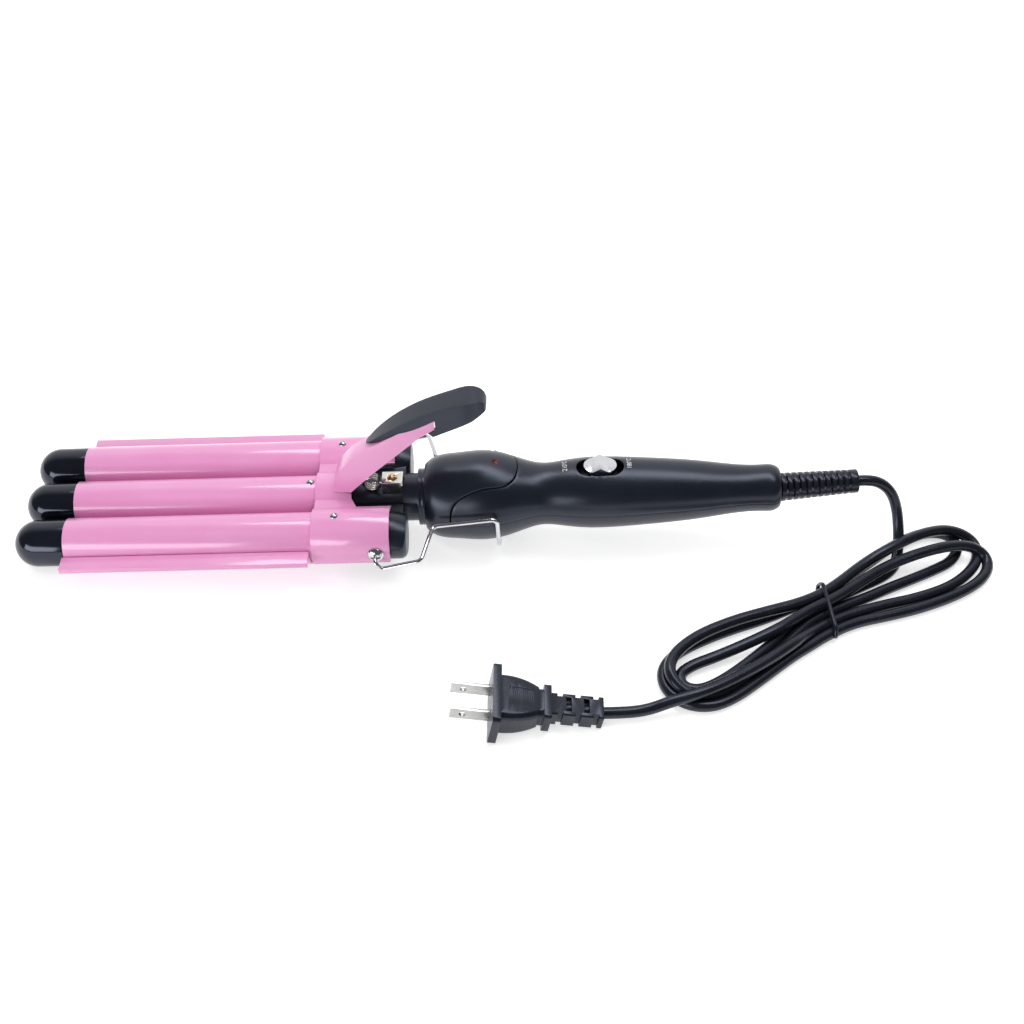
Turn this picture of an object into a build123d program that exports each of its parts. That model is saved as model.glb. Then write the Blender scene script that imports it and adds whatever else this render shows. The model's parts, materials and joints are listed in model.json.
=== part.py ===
from build123d import *
import os
from math import asin, atan2, cos, degrees, hypot, pi, radians, sin, sqrt, tan

# Triple-barrel hair waver with a mains lead. Millimetres.
# It is built straight: the barrels lie along +X with their noses at X = 0, Y is across, Z is up,
# and the middle barrel's axis is the X axis. At the end everything is laid down on the table.

# ---- barrels -------------------------------------------------------------------------------
PITCH = 24.6                  # between neighbouring barrel axes
BARREL_R = 11.25              # painted aluminium tube, outside
TUBE_WALL = 0.8
NOSE_R = 10.8                 # black nose cap
NOSE_LENGTH = 24.8            # cap that shows in front of the tube
NOSE_PLUG = 7.0               # its spigot inside the tube
TUBE_SHOWN = 113.2            # tube between the nose and the clamp's collars
SPIGOT_FIT = 0.05             # radial play of what plugs into a tube
SMALL_HEAD_R = 1.9            # screws on top of the barrels' roots
SMALL_HEAD = 1.1
SMALL_SHAFT_R = 0.9
SMALL_SCREW_LENGTH = 4.2
HEATER_LENGTH = 70.0
HEATER_GAP = 14.0             # from the nose spigot to the heater
CERAMIC_THICKNESS = 2.4
CERAMIC_WIDTH = 12.0
SHOE_BORE_R = 2.6             # lightening bore of each heater shoe

# ---- stamped clamp bracket -----------------------------------------------------------------
SHEET = 1.0
COLLAR_PLAY = 0.6             # between the saddle and what it covers
RING_LENGTH = 13.0            # part of a collar that closes round its barrel
SADDLE_LENGTH = 22.5          # open part behind it
SKIRT_DROP = 5.0              # outer skirt below the barrel axis
INNER_EDGE_Z = 6.0            # inner edge of the saddles
VALLEY_Z = 8.6                # top of the bridge between two saddles
BRIDGE_LENGTH = 20.6
NOTCH_DEPTH = 3.8             # notch in the bridge's rear edge
NOTCH_HALF = 9.0
ARM_HALF = 4.4                # half width of the lever arm's ridge
ARM_LEAN = 16.0               # outward lean of its sides, degrees
ARM_OPEN = 5.0                # the arm's channel runs out this far below its lower edge
# top line of the arm and its lower edge, from the pivot, in X and Z
ARM_TOP = [(-20.4, 11.6), (-19.0, 17.0), (-16.2, 22.6), (-10.4, 29.0), (-3.0, 34.2), (6.0, 40.0),
           (15.0, 45.4), (24.0, 50.2), (29.0, 52.2)]
ARM_BOTTOM = [(29.0, 47.6), (21.5, 42.4), (-1.5, 22.0), (-12.2, 11.6)]

# ---- thumb rest on the arm -----------------------------------------------------------------
# thumb rest: upper line, then its lower edge back to the front tip
REST_TOP = [(-3.2, 35.4), (2.0, 40.3), (8.0, 45.1), (18.0, 51.3), (28.0, 55.8), (38.0, 59.2),
            (45.5, 61.1), (50.0, 60.6), (52.6, 57.9)]
REST_BOTTOM = [(52.2, 55.0), (46.0, 50.9), (28.0, 42.4), (24.6, 46.0), (14.5, 43.2), (5.0, 39.2)]
REST_WALL = 1.3
REST_FIT = 0.15
RIVET_R = 1.2                 # rivet inside the rest: from the pivot, and its half length
RIVET_X = 25.4
RIVET_Z = 47.8
RIVET_HALF = 4.8
# plan of the thumb rest: X from the pivot and half width
REST_PLAN = [(-3.2, 1.2), (1.0, 3.4), (9.0, 5.0), (22.0, 6.1), (36.0, 6.6), (46.0, 6.3), (51.4, 4.2)]

# ---- pivot ---------------------------------------------------------------------------------
PIVOT_SETBACK = 29.0          # from the collars' front edge to the pivot
CLAMP_TRAVEL = 15.0           # degrees the clamp opens
PIVOT_SHAFT_R = 2.0
PIVOT_PLAY = 0.06
PIVOT_SHAFT_LENGTH = 12.0
SCREW_HEAD_R = 3.9
SCREW_HEAD_HEIGHT = 2.2

# ---- black barrel base ---------------------------------------------------------------------
BASE_R = 11.2
BASE_GAP = 5.0                # from the outer tubes' ends to the base
BASE_LENGTH = 26.8
BASE_TOP_Z = 6.2              # flat that carries the spring
BASE_ROUND = 3.2              # edge round of the outer cylinders
BASE_FOOT_Z = 9.6             # flat underside, below the axis
SPIGOT_LENGTH = 22.0
NECK_LENGTH = 6.8
NECK_FACE_SETBACK = 2.2       # the neck's front face, ahead of the outer cylinders' ends
RING_R = 13.3
RING_WIDTH = 3.2
RING_GROOVE = 0.4
TAIL_LENGTH = 12.0
TAIL_FLANGE_R = 14.0
TAIL_FLANGE = 2.0
WIRE_BORE_R = 5.0
CROSS_BORE_R = 2.2
BORE_DROP = 2.0               # the bores lie this far below the axis

# ---- wave plate ----------------------------------------------------------------------------
PLATE_SHEET = 0.8
HAIR_GAP = 0.6                # between the outer barrels and their troughs
PLATE_REACH = 43.9            # half width over the wings
WING_TOP = 2.3
RIM_DROP = 1.9
RIDGE_Z = -5.0
PLATE_INSET = 0.6             # the plate starts before the tubes and ends before the collars
PLATE_FIT = 0.02
PLATE_SCREW_R = 0.95
PLATE_SCREW_LENGTH = 3.4
PLATE_SCREW_SETBACK = 6.0     # rear screw ahead of the collars

# ---- handle --------------------------------------------------------------------------------
HANDLE_LENGTH = 165.0
HANDLE_WALL = 2.0
FRONT_WALL = 2.6
SEAM = 0.15                   # gap between the two shells
# distance from the handle's front and outer radius: head, waist, belly, end
HANDLE_OUTLINE = [(0, 15.2), (3.4, 17.9), (15, 20.1), (26, 20.9), (35.5, 19.8), (45, 16.9),
                  (54.5, 14.6), (64, 15.4), (75, 16.6), (85, 16.7), (101, 15.9),
                  (HANDLE_LENGTH - 35, 13.4), (HANDLE_LENGTH - 8, 11.0), (HANDLE_LENGTH - 1.5, 10.3),
                  (HANDLE_LENGTH, 9.2)]
COVER_RISE = 0.35             # the head cover stands this proud
COVER_GAP = 0.45
# plan of the head cover's parting line: distance from the handle's front and half width
COVER_PLAN = [(11.2, 21.5), (13.5, 17.6), (19.8, 15.0), (29.5, 13.0), (36.8, 11.4), (41.5, 7.4)]
COVER_TIP = 43.2
BOSS_R = 2.7
# screw bosses of the shells: distance from the handle's front and distance from the middle
REAR_BOSS_X = HANDLE_LENGTH - 15.0
BODY_BOSSES = [(56.0, 0.0), (112.0, 0.0), (REAR_BOSS_X, -6.0), (REAR_BOSS_X, 6.0)]
HEAD_BOSSES = [(18.0, -11.0), (18.0, 11.0)]
SCREW_R = 1.1
SCREW_BITE = 7.0              # depth of the pilot holes above the parting plane
SCREW_CAP_R = 2.1
SCREW_CAP = 1.4

# ---- clamp spring and its clip -------------------------------------------------------------
SPRING_WIRE_R = 0.65
SPRING_R = 3.3
SPRING_TURNS = 3
SPRING_GAP = 0.12             # between turns
SPRING_LIFT = 0.25            # under the coil
SPRING_BACK = 3.4             # coil axis ahead of the pivot
SPRING_HOOK = 2.4             # its upper leg ends this far behind the arm's ridge point
CLIP_BACK = 6.6               # clip's middle behind the pivot
CLIP_LENGTH = 9.7
CLIP_HALF = 4.0
CLIP_HEIGHT = 6.6
CLIP_SCREW_R = 1.15
CLIP_HEAD_R = 2.5
CLIP_HEAD = 1.3
CLIP_SCREW_BITE = 4.5

# ---- switch, lamp and electronics ----------------------------------------------------------
SWITCH_X = 81.4               # centre of the recess from the handle's front
RECESS_LENGTH = 22.2
RECESS_WIDTH = 11.6
BUTTON_LENGTH = 15.2
BUTTON_WIDTH = 10.2
BUTTON_TRAVEL = 3.0           # each way
BUTTON_TOP = 0.5              # above the belly
RIDGE_HEIGHT = 2.0
RIDGE_HALF = 4.4
STEM_HALF = 1.5
SWITCH_PLAY = 0.1             # over the switch, under the slide plate and round the stem
SWITCH_WIDTH = 8.4
SWITCH_HEIGHT = 6.4
BEZEL = 0.8                   # slide plate over the switch
BEZEL_MARGIN = 1.2
LAMP_X = 33.2
LAMP_R = 1.7
LAMP_FIT = 0.05
LAMP_LENGTH = 5.0
LAMP_COLLAR = 0.7
LAMP_DOME = 0.3
FUSE_R = 1.65
FUSE_LENGTH = 9.0
FUSE_Y = -4.0
LEAD_R = 1.1                  # heater leads, and their places in the neck's bore
LEAD_PLACES = [(-1.7, -3.0), (1.7, -3.0), (0.0, -0.3)]
BOARD_WIDTH = 19.0
BOARD_THICKNESS = 1.6
BOARD_Z = 1.2
BOARD_END_GAP = 1.2           # from the board's ends to the bosses

# ---- stand ---------------------------------------------------------------------------------
WIRE_R = 1.0
WIRE_PLAY = 0.05              # round its pins in the pivot screws
HEAD_PLAY = 0.2               # between a screw's head and the bracket's skirt
PIN_LENGTH = 6.0              # of the wire inside each screw
STAND_ARC_R = 23.4            # bend under the head
STAND_REACH = 55.2            # from the pivot to that bend
STAND_LEG_Y = 42.6
# bends of one leg from the pivot, in X and Z: at the pin, at the neck, before the head
STAND_KNEE = (2.4, -4.0)
STAND_SHOULDER = (21.0, 0.7)
STAND_ELBOW = (25.7, 3.2)
STAND_HEAD_Z = 6.6
STAND_BENDS = [1.7, 1.9, 3.0, 3.0, 2.6]
STAND_ROUND = 18.0            # bends of the round part under the head
STAND_TRAVEL = 78.0           # degrees

# ---- lead ----------------------------------------------------------------------------------
CORD_R = 2.6
CLAMP_X = HANDLE_LENGTH - 24.0  # bar over the lead, from the handle's front
CLAMP_SCREW_Y = 5.4
CLAMP_BAR = 2.2
CLAMP_SCREW_LENGTH = 4.0
CLAMP_SCREW_R = 0.7
CLAMP_PILLAR_R = 2.0
CLAMP_HEAD_R = 1.7
CLAMP_HEAD = 1.0
CORD_TAIL = 6.0               # lead inside the handle beyond the bar
SCREW_END_GAP = 0.3           # from a screw's end to the bottom of its hole
RELIEF_LENGTH = 36.8
RELIEF_ROOT_R = 6.7
RELIEF_TIP_R = 5.6
RELIEF_CORE_R = 4.1
RELIEF_RIBS = 11
RELIEF_RIB = 1.8
RELIEF_BRIDGE = 1.6           # half width of the bridges between ribs
RELIEF_INSET = 0.5            # bridges below the ribs' edge
RELIEF_FLANGE = 2.0
RELIEF_FLANGE_R = 6.3

CORD_STEP = 0.45              # share of the shorter run that each arc of the lead takes
RELIEF_YAW = 4.5              # the relief's sideways set, degrees
# route of the lead on the table, drawn for a relief that ends at ROUTE_X
ROUTE_X = 194.68
LEAD_POINTS = [(200.8, 3.4, 34.7), (207.6, 3.7, 32.2), (213.3, 3.0, 26.6), (216.8, 0.6, 18.6),
               (218.3, -4.6, 10.4), (217.9, -12.2, 4.6), (215.2, -21.5, 2.6)]
TAIL_POINTS = [(112.0, -104.6, 8.2), (101.6, -107.6, 7.0), (91.6, -110.1, 4.2), (82.2, -111.6, 3.9)]
HANK_HEIGHT = 9.9             # two layers of the lead
# outline of the tied hank on the table
HANK_OUTLINE = [(170.5, -41.5), (185.0, -31.5), (200.0, -18.8), (220.0, -2.8), (240.0, 4.8),
                (255.0, -1.5), (263.0, -18.0), (258.0, -31.5), (246.0, -40.5), (224.0, -49.5),
                (203.0, -57.0), (184.0, -64.5), (171.0, -74.0), (156.5, -83.5), (140.0, -97.0),
                (126.0, -106.5), (113.0, -108.5), (103.0, -102.5), (98.5, -90.5), (101.0, -77.5),
                (114.0, -68.0), (131.0, -60.0), (150.0, -51.8)]
TIE_AT = (177.4, -52.0)
TIE_TURN = -82.7              # direction of the tie across the hank, degrees
TIE_HALF = 14.6
TIE_WIRE_R = 1.0
TIE_FIT = 0.05

# ---- plug ----------------------------------------------------------------------------------
PLUG_AT = (24.2, -112.4)      # middle of the flange's face, on the same route
PLUG_ROLL = 4.0               # it lies rolled on one corner of its flange, degrees
FLANGE_WIDTH = 29.5
FLANGE_HEIGHT = 18.5
FLANGE_THICK = 3.5
FLANGE_CORNER = 2.0
GRIP_LENGTH = 16.5
GRIP_ROOT = (22.5, 14.5)      # width and height beside the flange, at its fullest and at its end
GRIP_FULL = (21.2, 13.8)
GRIP_END = (15.5, 11.5)
GRIP_FULL_AT = 0.5            # share of the grip's length
GRIP_CORNER = 3.0
PLUG_NECK = (14.2, 10.5)
PLUG_NECK_LENGTH = 2.2
GRIP_GROOVES = 12
GRIP_PITCH = 0.9
GRIP_GROOVE_START = 3.7       # from the flange
GRIP_GROOVE_LENGTH = 8.8
GRIP_GROOVE_DEPTH = 0.6
PLUG_RING = (17.0, 11.6)
PLUG_RING_LENGTH = 3.1
PLUG_RING_CORNER = 1.4
TAIL_RELIEF = (11.0, 8.4)     # width and height of the plug's own strain relief
TAIL_RELIEF_LENGTH = 22.6
TAIL_CORNER = 0.9
TAIL_NOTCHES = [2.8, 10.5, 18.2]  # cuts in its sides, from the ring
TAIL_WINDOWS = [6.4, 14.1]    # cuts in its faces, down to the lead
TAIL_CUT = 2.4                # length of each cut along the lead
TAIL_NOTCH_DEPTH = 1.8
TAIL_WINDOW_HALF = 3.5
TAIL_SKIN = 0.1               # left over the lead under a window
BLADE_SPACING = 12.7
BLADE_WIDTH = 6.35
BLADE_THICK = 1.5
BLADE_LENGTH = 17.0
BLADE_ROOT = 6.0              # part of a blade inside the plug
BLADE_HOLE_R = 1.5
BLADE_HOLE_AT = 11.7

# ---- derived places ------------------------------------------------------------------------
collar_x = NOSE_LENGTH + TUBE_SHOWN
ring_end_x = collar_x + RING_LENGTH
collar_end_x = ring_end_x + SADDLE_LENGTH
bridge_end_x = collar_x + BRIDGE_LENGTH
pivot_x = collar_x + PIVOT_SETBACK
tube_end_x = ring_end_x - 2 * SHEET
base_x = tube_end_x + BASE_GAP
shoulder_x = tube_end_x + SHEET
base_end_x = base_x + BASE_LENGTH
neck_x = base_end_x - NECK_FACE_SETBACK
ring_x = neck_x + NECK_LENGTH
handle_x = ring_x + RING_WIDTH + SEAM
handle_end_x = handle_x + HANDLE_LENGTH
relief_end_x = handle_end_x + RELIEF_LENGTH + SEAM
collar_screw_x = ring_end_x - 2.6
middle_screw_x = collar_x - 2.8
spigot_r = BARREL_R - TUBE_WALL - SPIGOT_FIT
saddle_in_r = BARREL_R + COLLAR_PLAY
saddle_r = saddle_in_r + SHEET
trough_r = BARREL_R + HAIR_GAP
plate_bottom = trough_r + PLATE_SHEET
plate_x = NOSE_LENGTH - PLATE_INSET
plate_end_x = collar_x - 2 * PLATE_INSET
skirt_y = PITCH + saddle_r
head_y = skirt_y + HEAD_PLAY
shaft_end_y = PITCH + BASE_R - PIVOT_SHAFT_LENGTH
board_x = handle_x + BODY_BOSSES[0][0] + BOSS_R + BOARD_END_GAP
board_end_x = handle_x + BODY_BOSSES[1][0] - BOSS_R - BOARD_END_GAP
clip_x = pivot_x + CLIP_BACK
coil_z = BASE_TOP_Z + SPRING_R + SPRING_WIRE_R + SPRING_LIFT
plug_ring_x = FLANGE_THICK + GRIP_LENGTH + PLUG_NECK_LENGTH
plug_tail_x = plug_ring_x + PLUG_RING_LENGTH
plug_length = plug_tail_x + TAIL_RELIEF_LENGTH
outer_barrels = {"front": -PITCH, "rear": PITCH}
all_barrels = {"front": -PITCH, "middle": 0.0, "rear": PITCH}


# ---- helpers -------------------------------------------------------------------------------
def post(z0, z1, radius, x, y=0.0):
    """Cylinder along Z."""
    return Pos(x, y, z0) * Cylinder(radius, z1 - z0, align=(Align.CENTER, Align.CENTER, Align.MIN))


def rod(x0, x1, radius, y=0.0, z=0.0):
    """Cylinder along X."""
    return Pos(x0, y, z) * Rot(0, 90, 0) * post(0, x1 - x0, radius, 0)


def cross_rod(y0, y1, radius, x, z):
    """Cylinder along Y."""
    return Pos(x, y0, z) * Rot(-90, 0, 0) * post(0, y1 - y0, radius, 0)


def block(x0, x1, y0, y1, z0, z1):
    return Pos((x0 + x1) / 2, (y0 + y1) / 2, (z0 + z1) / 2) * Box(x1 - x0, y1 - y0, z1 - z0)


def area(y0, y1, z0, z1):
    """Rectangle in a cross-section."""
    return Pos((y0 + y1) / 2, (z0 + z1) / 2) * Rectangle(y1 - y0, z1 - z0)


def disc(y, radius):
    return Pos(y, 0) * Circle(radius)


def along_x(section, x0, x1):
    """Extrude a cross-section drawn in Y and Z."""
    return extrude(Plane.YZ.offset(x0) * section, amount=x1 - x0)


def side_plate(points, half):
    """Extrude an outline drawn in X and Z to both sides of the middle plane."""
    outline = make_face(Polyline(points, close=True))
    return extrude(Plane.XZ * outline, amount=half, both=True)


def turned(points):
    """Solid of revolution about X from points of distance and radius."""
    curve = Spline([(x, r) for x, r in points])
    first, last = points[0], points[-1]
    sides = Polyline([last, (last[0], 0), (first[0], 0), first])
    return revolve(make_face([curve, sides]), Axis.X, 360)


def pan_screw(head_r, head_height, shaft_r, shaft_length):
    """Screw pointing down -Z, its head's seat at Z = 0, with a cross recess."""
    dome_r = (head_r ** 2 + head_height ** 2) / (2 * head_height)
    dome = Pos(0, 0, head_height - dome_r) * Sphere(dome_r)
    head = dome & post(0, head_height, head_r, 0)
    slot = head_r * 1.1
    depth = head_height * 0.5
    for turn in (0, 90):
        head -= Pos(0, 0, head_height - depth / 2) * Rot(0, 0, turn) * Box(slot, head_r * 0.26, depth)
    return head + post(-shaft_length, 0.01, shaft_r, 0)


# ---- barrels -------------------------------------------------------------------------------
def tube(y, end_x, screw_x):
    body = rod(NOSE_LENGTH, end_x, BARREL_R, y) - rod(NOSE_LENGTH, end_x, BARREL_R - TUBE_WALL, y)
    return body - top_hole(screw_x, y)


def nose(y):
    shell = Pos(NOSE_R, y, 0) * Sphere(NOSE_R) + rod(NOSE_R, NOSE_LENGTH, NOSE_R, y)
    shell += rod(NOSE_LENGTH, NOSE_LENGTH + NOSE_PLUG, spigot_r, y)
    return shell - rod(NOSE_R, NOSE_LENGTH + NOSE_PLUG, spigot_r - 2 * TUBE_WALL, y)


def heater_shoes(y):
    """Two aluminium half shoes that press the ceramic against the tube."""
    x0 = NOSE_LENGTH + NOSE_PLUG + HEATER_GAP
    x1 = x0 + HEATER_LENGTH
    body = rod(x0, x1, spigot_r, y)
    half = CERAMIC_THICKNESS / 2
    body -= block(x0, x1, y - spigot_r, y + spigot_r, -half, half)
    for z in (-spigot_r / 2 - half / 2, spigot_r / 2 + half / 2):
        body -= rod(x0, x1, SHOE_BORE_R, y, z)
    return body


def ceramic(y):
    x0 = NOSE_LENGTH + NOSE_PLUG + HEATER_GAP
    half = CERAMIC_THICKNESS / 2
    w = CERAMIC_WIDTH / 2
    return block(x0 + PITCH / 4, x0 + HEATER_LENGTH - PITCH / 4, y - w, y + w, -half, half)


def root_plug(y):
    """Insulator in the root of an outer barrel; the collar screw bites into it."""
    bore = rod(collar_x, tube_end_x, WIRE_BORE_R / 2, y, -spigot_r / 3)
    return rod(collar_x, tube_end_x, spigot_r, y) - bore


def top_hole(x, y):
    """Hole for a small barrel screw, down from above."""
    return post(BARREL_R - SMALL_SCREW_LENGTH, 2 * BARREL_R, SMALL_SHAFT_R + SPIGOT_FIT, x, y)


def small_screw(length):
    return pan_screw(SMALL_HEAD_R, SMALL_HEAD, SMALL_SHAFT_R, length)


def collar_screws():
    length = SMALL_SCREW_LENGTH + saddle_r - BARREL_R - 0.2
    pair = [Pos(collar_screw_x, y, saddle_r) * small_screw(length) for y in outer_barrels.values()]
    return Compound(children=pair)


def middle_root_screw():
    return Pos(middle_screw_x, 0, BARREL_R) * small_screw(SMALL_SCREW_LENGTH - 0.2)


# ---- lever arm and thumb rest --------------------------------------------------------------
def from_pivot(points, dx=0.0, dz=0.0):
    return [(pivot_x + x + dx, z + dz) for x, z in points]


def arm_body(wall=0.0, open_below=0.0):
    """The lever arm as a solid; a positive wall gives the space inside its sheet."""
    outline = from_pivot(ARM_TOP, wall * 0.8, -wall * 0.6) + from_pivot(ARM_BOTTOM, open_below, -open_below)
    spread = sin(radians(ARM_LEAN))
    half = ARM_HALF - wall
    depth = 60.0
    slope = degrees(atan2(ARM_TOP[-1][1] - ARM_TOP[1][1], ARM_TOP[-1][0] - ARM_TOP[1][0]))
    trapezoid = make_face(Polyline([(-half, 0), (half, 0), (half + depth * spread, -depth),
                                    (-half - depth * spread, -depth)], close=True))
    prism = extrude(Plane.YZ * trapezoid, amount=2 * depth, both=True)
    ridge = Pos(pivot_x + ARM_TOP[3][0], 0, ARM_TOP[3][1] + 2.0) * Rot(0, -slope, 0) * prism
    return side_plate(outline, depth / 2) & ridge


def rest_plan(inset=0.0):
    right = [(pivot_x + x, half - inset) for x, half in REST_PLAN]
    left = [(x, -y) for x, y in reversed(right)]
    tail = ThreePointArc(right[-1], (pivot_x + REST_PLAN[-1][0] + 1.6 - inset, 0), left[0])
    edge = [Spline(right), tail, Spline(left), Line(left[-1], right[0])]
    return extrude(make_face(edge), amount=3 * PITCH)


def thumb_rest():
    lower = Polyline(from_pivot([REST_TOP[-1]] + REST_BOTTOM + [REST_TOP[0]]))
    outer = make_face([Spline(from_pivot(REST_TOP)), lower])
    body = extrude(Plane.XZ * outer, amount=PITCH / 2, both=True) & rest_plan()
    foot = [(REST_BOTTOM[1][0], REST_BOTTOM[2][1] - 2 * REST_WALL),
            (REST_TOP[2][0], REST_TOP[0][1] - 4 * REST_WALL)]
    hollow = from_pivot(REST_TOP[1:-1], 0.3, -REST_WALL * 1.1) + from_pivot(foot)
    body -= side_plate(hollow, PITCH / 2) & rest_plan(REST_WALL)
    socket = arm_body(-REST_FIT, REST_FIT)
    return body - socket - Pos(2 * REST_FIT, 0, 0) * socket


def rest_rivet():
    """Rivet that holds the thumb rest on the arm."""
    return cross_rod(-RIVET_HALF, RIVET_HALF, RIVET_R, pivot_x + RIVET_X, RIVET_Z)


# ---- bracket -------------------------------------------------------------------------------
def saddle_section(reach):
    """Cross-section of the three saddles joined by the bridge."""
    top = 2 * saddle_r
    outer = disc(-PITCH, saddle_r) + disc(0, saddle_r) + disc(PITCH, saddle_r)
    outer += area(-PITCH, PITCH, 0, VALLEY_Z)
    outer += area(-PITCH - saddle_r, PITCH + saddle_r, -SKIRT_DROP, 0)
    inner = disc(-PITCH, saddle_in_r) + disc(0, saddle_in_r) + disc(PITCH, saddle_in_r)
    inner += area(-PITCH, PITCH, -top, VALLEY_Z - SHEET)
    inner += area(-PITCH - saddle_in_r, PITCH + saddle_in_r, -top, 0)
    return (outer - inner) & area(-reach, reach, -SKIRT_DROP, top)


def clamp_bracket():
    section = saddle_section(PITCH + saddle_r)
    body = along_x(section, collar_x, bridge_end_x)
    notch_x = bridge_end_x - NOTCH_DEPTH
    corner = [(notch_x, NOTCH_HALF), (bridge_end_x, 1.9 * NOTCH_HALF), (bridge_end_x + 1, 1.9 * NOTCH_HALF)]
    notch = Polyline(corner + [(x, -y) for x, y in reversed(corner)], close=True)
    body -= extrude(make_face(notch), amount=2 * PITCH)
    inner_cut = area(-PITCH - saddle_r, PITCH + saddle_r, -SKIRT_DROP, 2 * saddle_r)
    inner_cut -= area(-PITCH, PITCH, -SKIRT_DROP, INNER_EDGE_Z)
    inner_cut -= area(-PITCH + saddle_in_r * 0.84, PITCH - saddle_in_r * 0.84, -SKIRT_DROP, 2 * saddle_r)
    body += along_x(section & inner_cut, bridge_end_x - SHEET, collar_end_x)
    for y in outer_barrels.values():
        ring = disc(y, saddle_r) - disc(y, BARREL_R + SPIGOT_FIT)
        body += along_x(ring, collar_x, ring_end_x)
        low, high = sorted((y, 3 * y))
        body -= cross_rod(low, high, PIVOT_SHAFT_R + PIVOT_PLAY, pivot_x, 0)
    keep_out = rod(collar_x - 1, bridge_end_x + 1, saddle_in_r)
    body += arm_body() - keep_out
    for y in outer_barrels.values():
        body -= top_hole(collar_screw_x, y)
    return body - arm_body(SHEET, ARM_OPEN) - rest_rivet()


# ---- base ----------------------------------------------------------------------------------
def clamp_sweep(y):
    """Space that a saddle leaves free over its base cylinder when the clamp is open."""
    reach = base_end_x - collar_x
    open_tube = rod(-reach, reach, saddle_in_r - 2 * SPIGOT_FIT, 0, 0)
    return Pos(pivot_x, y, 0) * Rot(0, CLAMP_TRAVEL, 0) * open_tube


def barrel_base():
    body = rod(shoulder_x - SPIGOT_LENGTH, neck_x, spigot_r)
    body += rod(shoulder_x, neck_x, BASE_R)
    for y in outer_barrels.values():
        end = fillet(rod(base_x, base_end_x, BASE_R, y).edges().sort_by(Axis.X)[-1], BASE_ROUND)
        relief = block(pivot_x, 2 * pivot_x, y - PITCH / 2, y + PITCH / 2, 0.5, BASE_R + 1) - clamp_sweep(y)
        body += end - relief
    body += block(base_x, neck_x, -PITCH, PITCH, -BASE_R, INNER_EDGE_Z - SHEET)
    body -= block(shoulder_x + SHEET, neck_x, -BASE_R, BASE_R, BASE_TOP_Z, BASE_R)
    body += rod(neck_x, ring_x + RING_WIDTH + TAIL_LENGTH, BASE_R)
    body += rod(ring_x, ring_x + RING_WIDTH, RING_R)
    groove = rod(ring_x + 0.4 * RING_WIDTH, ring_x + 0.55 * RING_WIDTH, RING_R)
    body -= groove - rod(ring_x, ring_x + RING_WIDTH, RING_R - RING_GROOVE)
    flange_x = handle_x + FRONT_WALL + SEAM
    body += rod(flange_x, flange_x + TAIL_FLANGE, TAIL_FLANGE_R)
    body -= block(base_x, base_end_x, -2 * PITCH, 2 * PITCH, -2 * BASE_R, -BASE_FOOT_Z)
    body -= rod(pivot_x, handle_x + 2 * TAIL_LENGTH, WIRE_BORE_R, 0, -BORE_DROP)
    body -= rod(shoulder_x - SPIGOT_LENGTH, pivot_x, WIRE_BORE_R / 2, 0, -BORE_DROP)
    for y in outer_barrels.values():
        body -= rod(base_x, pivot_x - 2 * PIVOT_SHAFT_R, WIRE_BORE_R / 2, y, -BORE_DROP)
        side = 1 if y > 0 else -1
        lo, hi = sorted((side * (shaft_end_y - SCREW_END_GAP), side * (PITCH + 2 * BASE_R)))
        body -= cross_rod(lo, hi, PIVOT_SHAFT_R, pivot_x, 0)
    body -= cross_rod(-PITCH, PITCH, CROSS_BORE_R, pivot_x - 3 * PIVOT_SHAFT_R, -2)
    body -= post(0, BASE_R, CLIP_SCREW_R + SPIGOT_FIT, clip_x)
    for hole in plate_screw_holes():
        body -= hole
    return body - top_hole(middle_screw_x, 0)


def hinge_screws():
    """Domed screws through the bracket's skirts into the base, bored for the stand's pins."""
    one = pan_screw(SCREW_HEAD_R, SCREW_HEAD_HEIGHT, PIVOT_SHAFT_R, head_y - shaft_end_y)
    one -= post(-PIN_LENGTH - SCREW_END_GAP, SCREW_HEAD_HEIGHT, WIRE_R + WIRE_PLAY, 0)
    near = Pos(pivot_x, -head_y, 0) * Rot(90, 0, 0) * one
    far = Pos(pivot_x, head_y, 0) * Rot(-90, 0, 0) * one
    return Compound(children=[near, far])


# ---- clamp spring and its clip -------------------------------------------------------------
def clamp_spring():
    """Torsion spring: a coil across the base, one leg under the clip and one up to the arm."""
    pitch = 2 * SPRING_WIRE_R + SPRING_GAP
    width = SPRING_TURNS * pitch
    x = pivot_x - SPRING_BACK
    path = Helix(pitch, width, SPRING_R)
    coil = sweep(Plane(path @ 0, z_dir=path % 0) * Circle(SPRING_WIRE_R), path)
    coil = Pos(x, width / 2, coil_z) * Rot(90, 0, 0) * coil
    low_z = coil_z - SPRING_R
    leg = rod(x, clip_x + CLIP_LENGTH / 2 - 2 * SHEET, SPRING_WIRE_R, width / 2, low_z)
    reach_z = ARM_TOP[3][1] - 1.0 - 2 * SHEET - SPRING_WIRE_R
    under_ridge = pivot_x + ARM_TOP[3][0] + SPRING_HOOK
    rise = Polyline([(x - SPRING_R, -width / 2, coil_z), (under_ridge, -width / 2, reach_z)])
    arm = sweep(Plane(rise @ 0, z_dir=rise % 0) * Circle(SPRING_WIRE_R), rise)
    return coil + leg + arm


def spring_clip():
    x0 = clip_x - CLIP_LENGTH / 2
    x1 = clip_x + CLIP_LENGTH / 2
    top = BASE_TOP_Z + CLIP_HEIGHT
    clip = block(x0, x1, -CLIP_HALF, CLIP_HALF, BASE_TOP_Z, top)
    clip -= block(x0, x1, -CLIP_HALF + SHEET, CLIP_HALF - SHEET, BASE_TOP_Z, top - SHEET)
    return clip - post(0, 2 * top, CLIP_SCREW_R + SPIGOT_FIT, clip_x)


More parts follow.
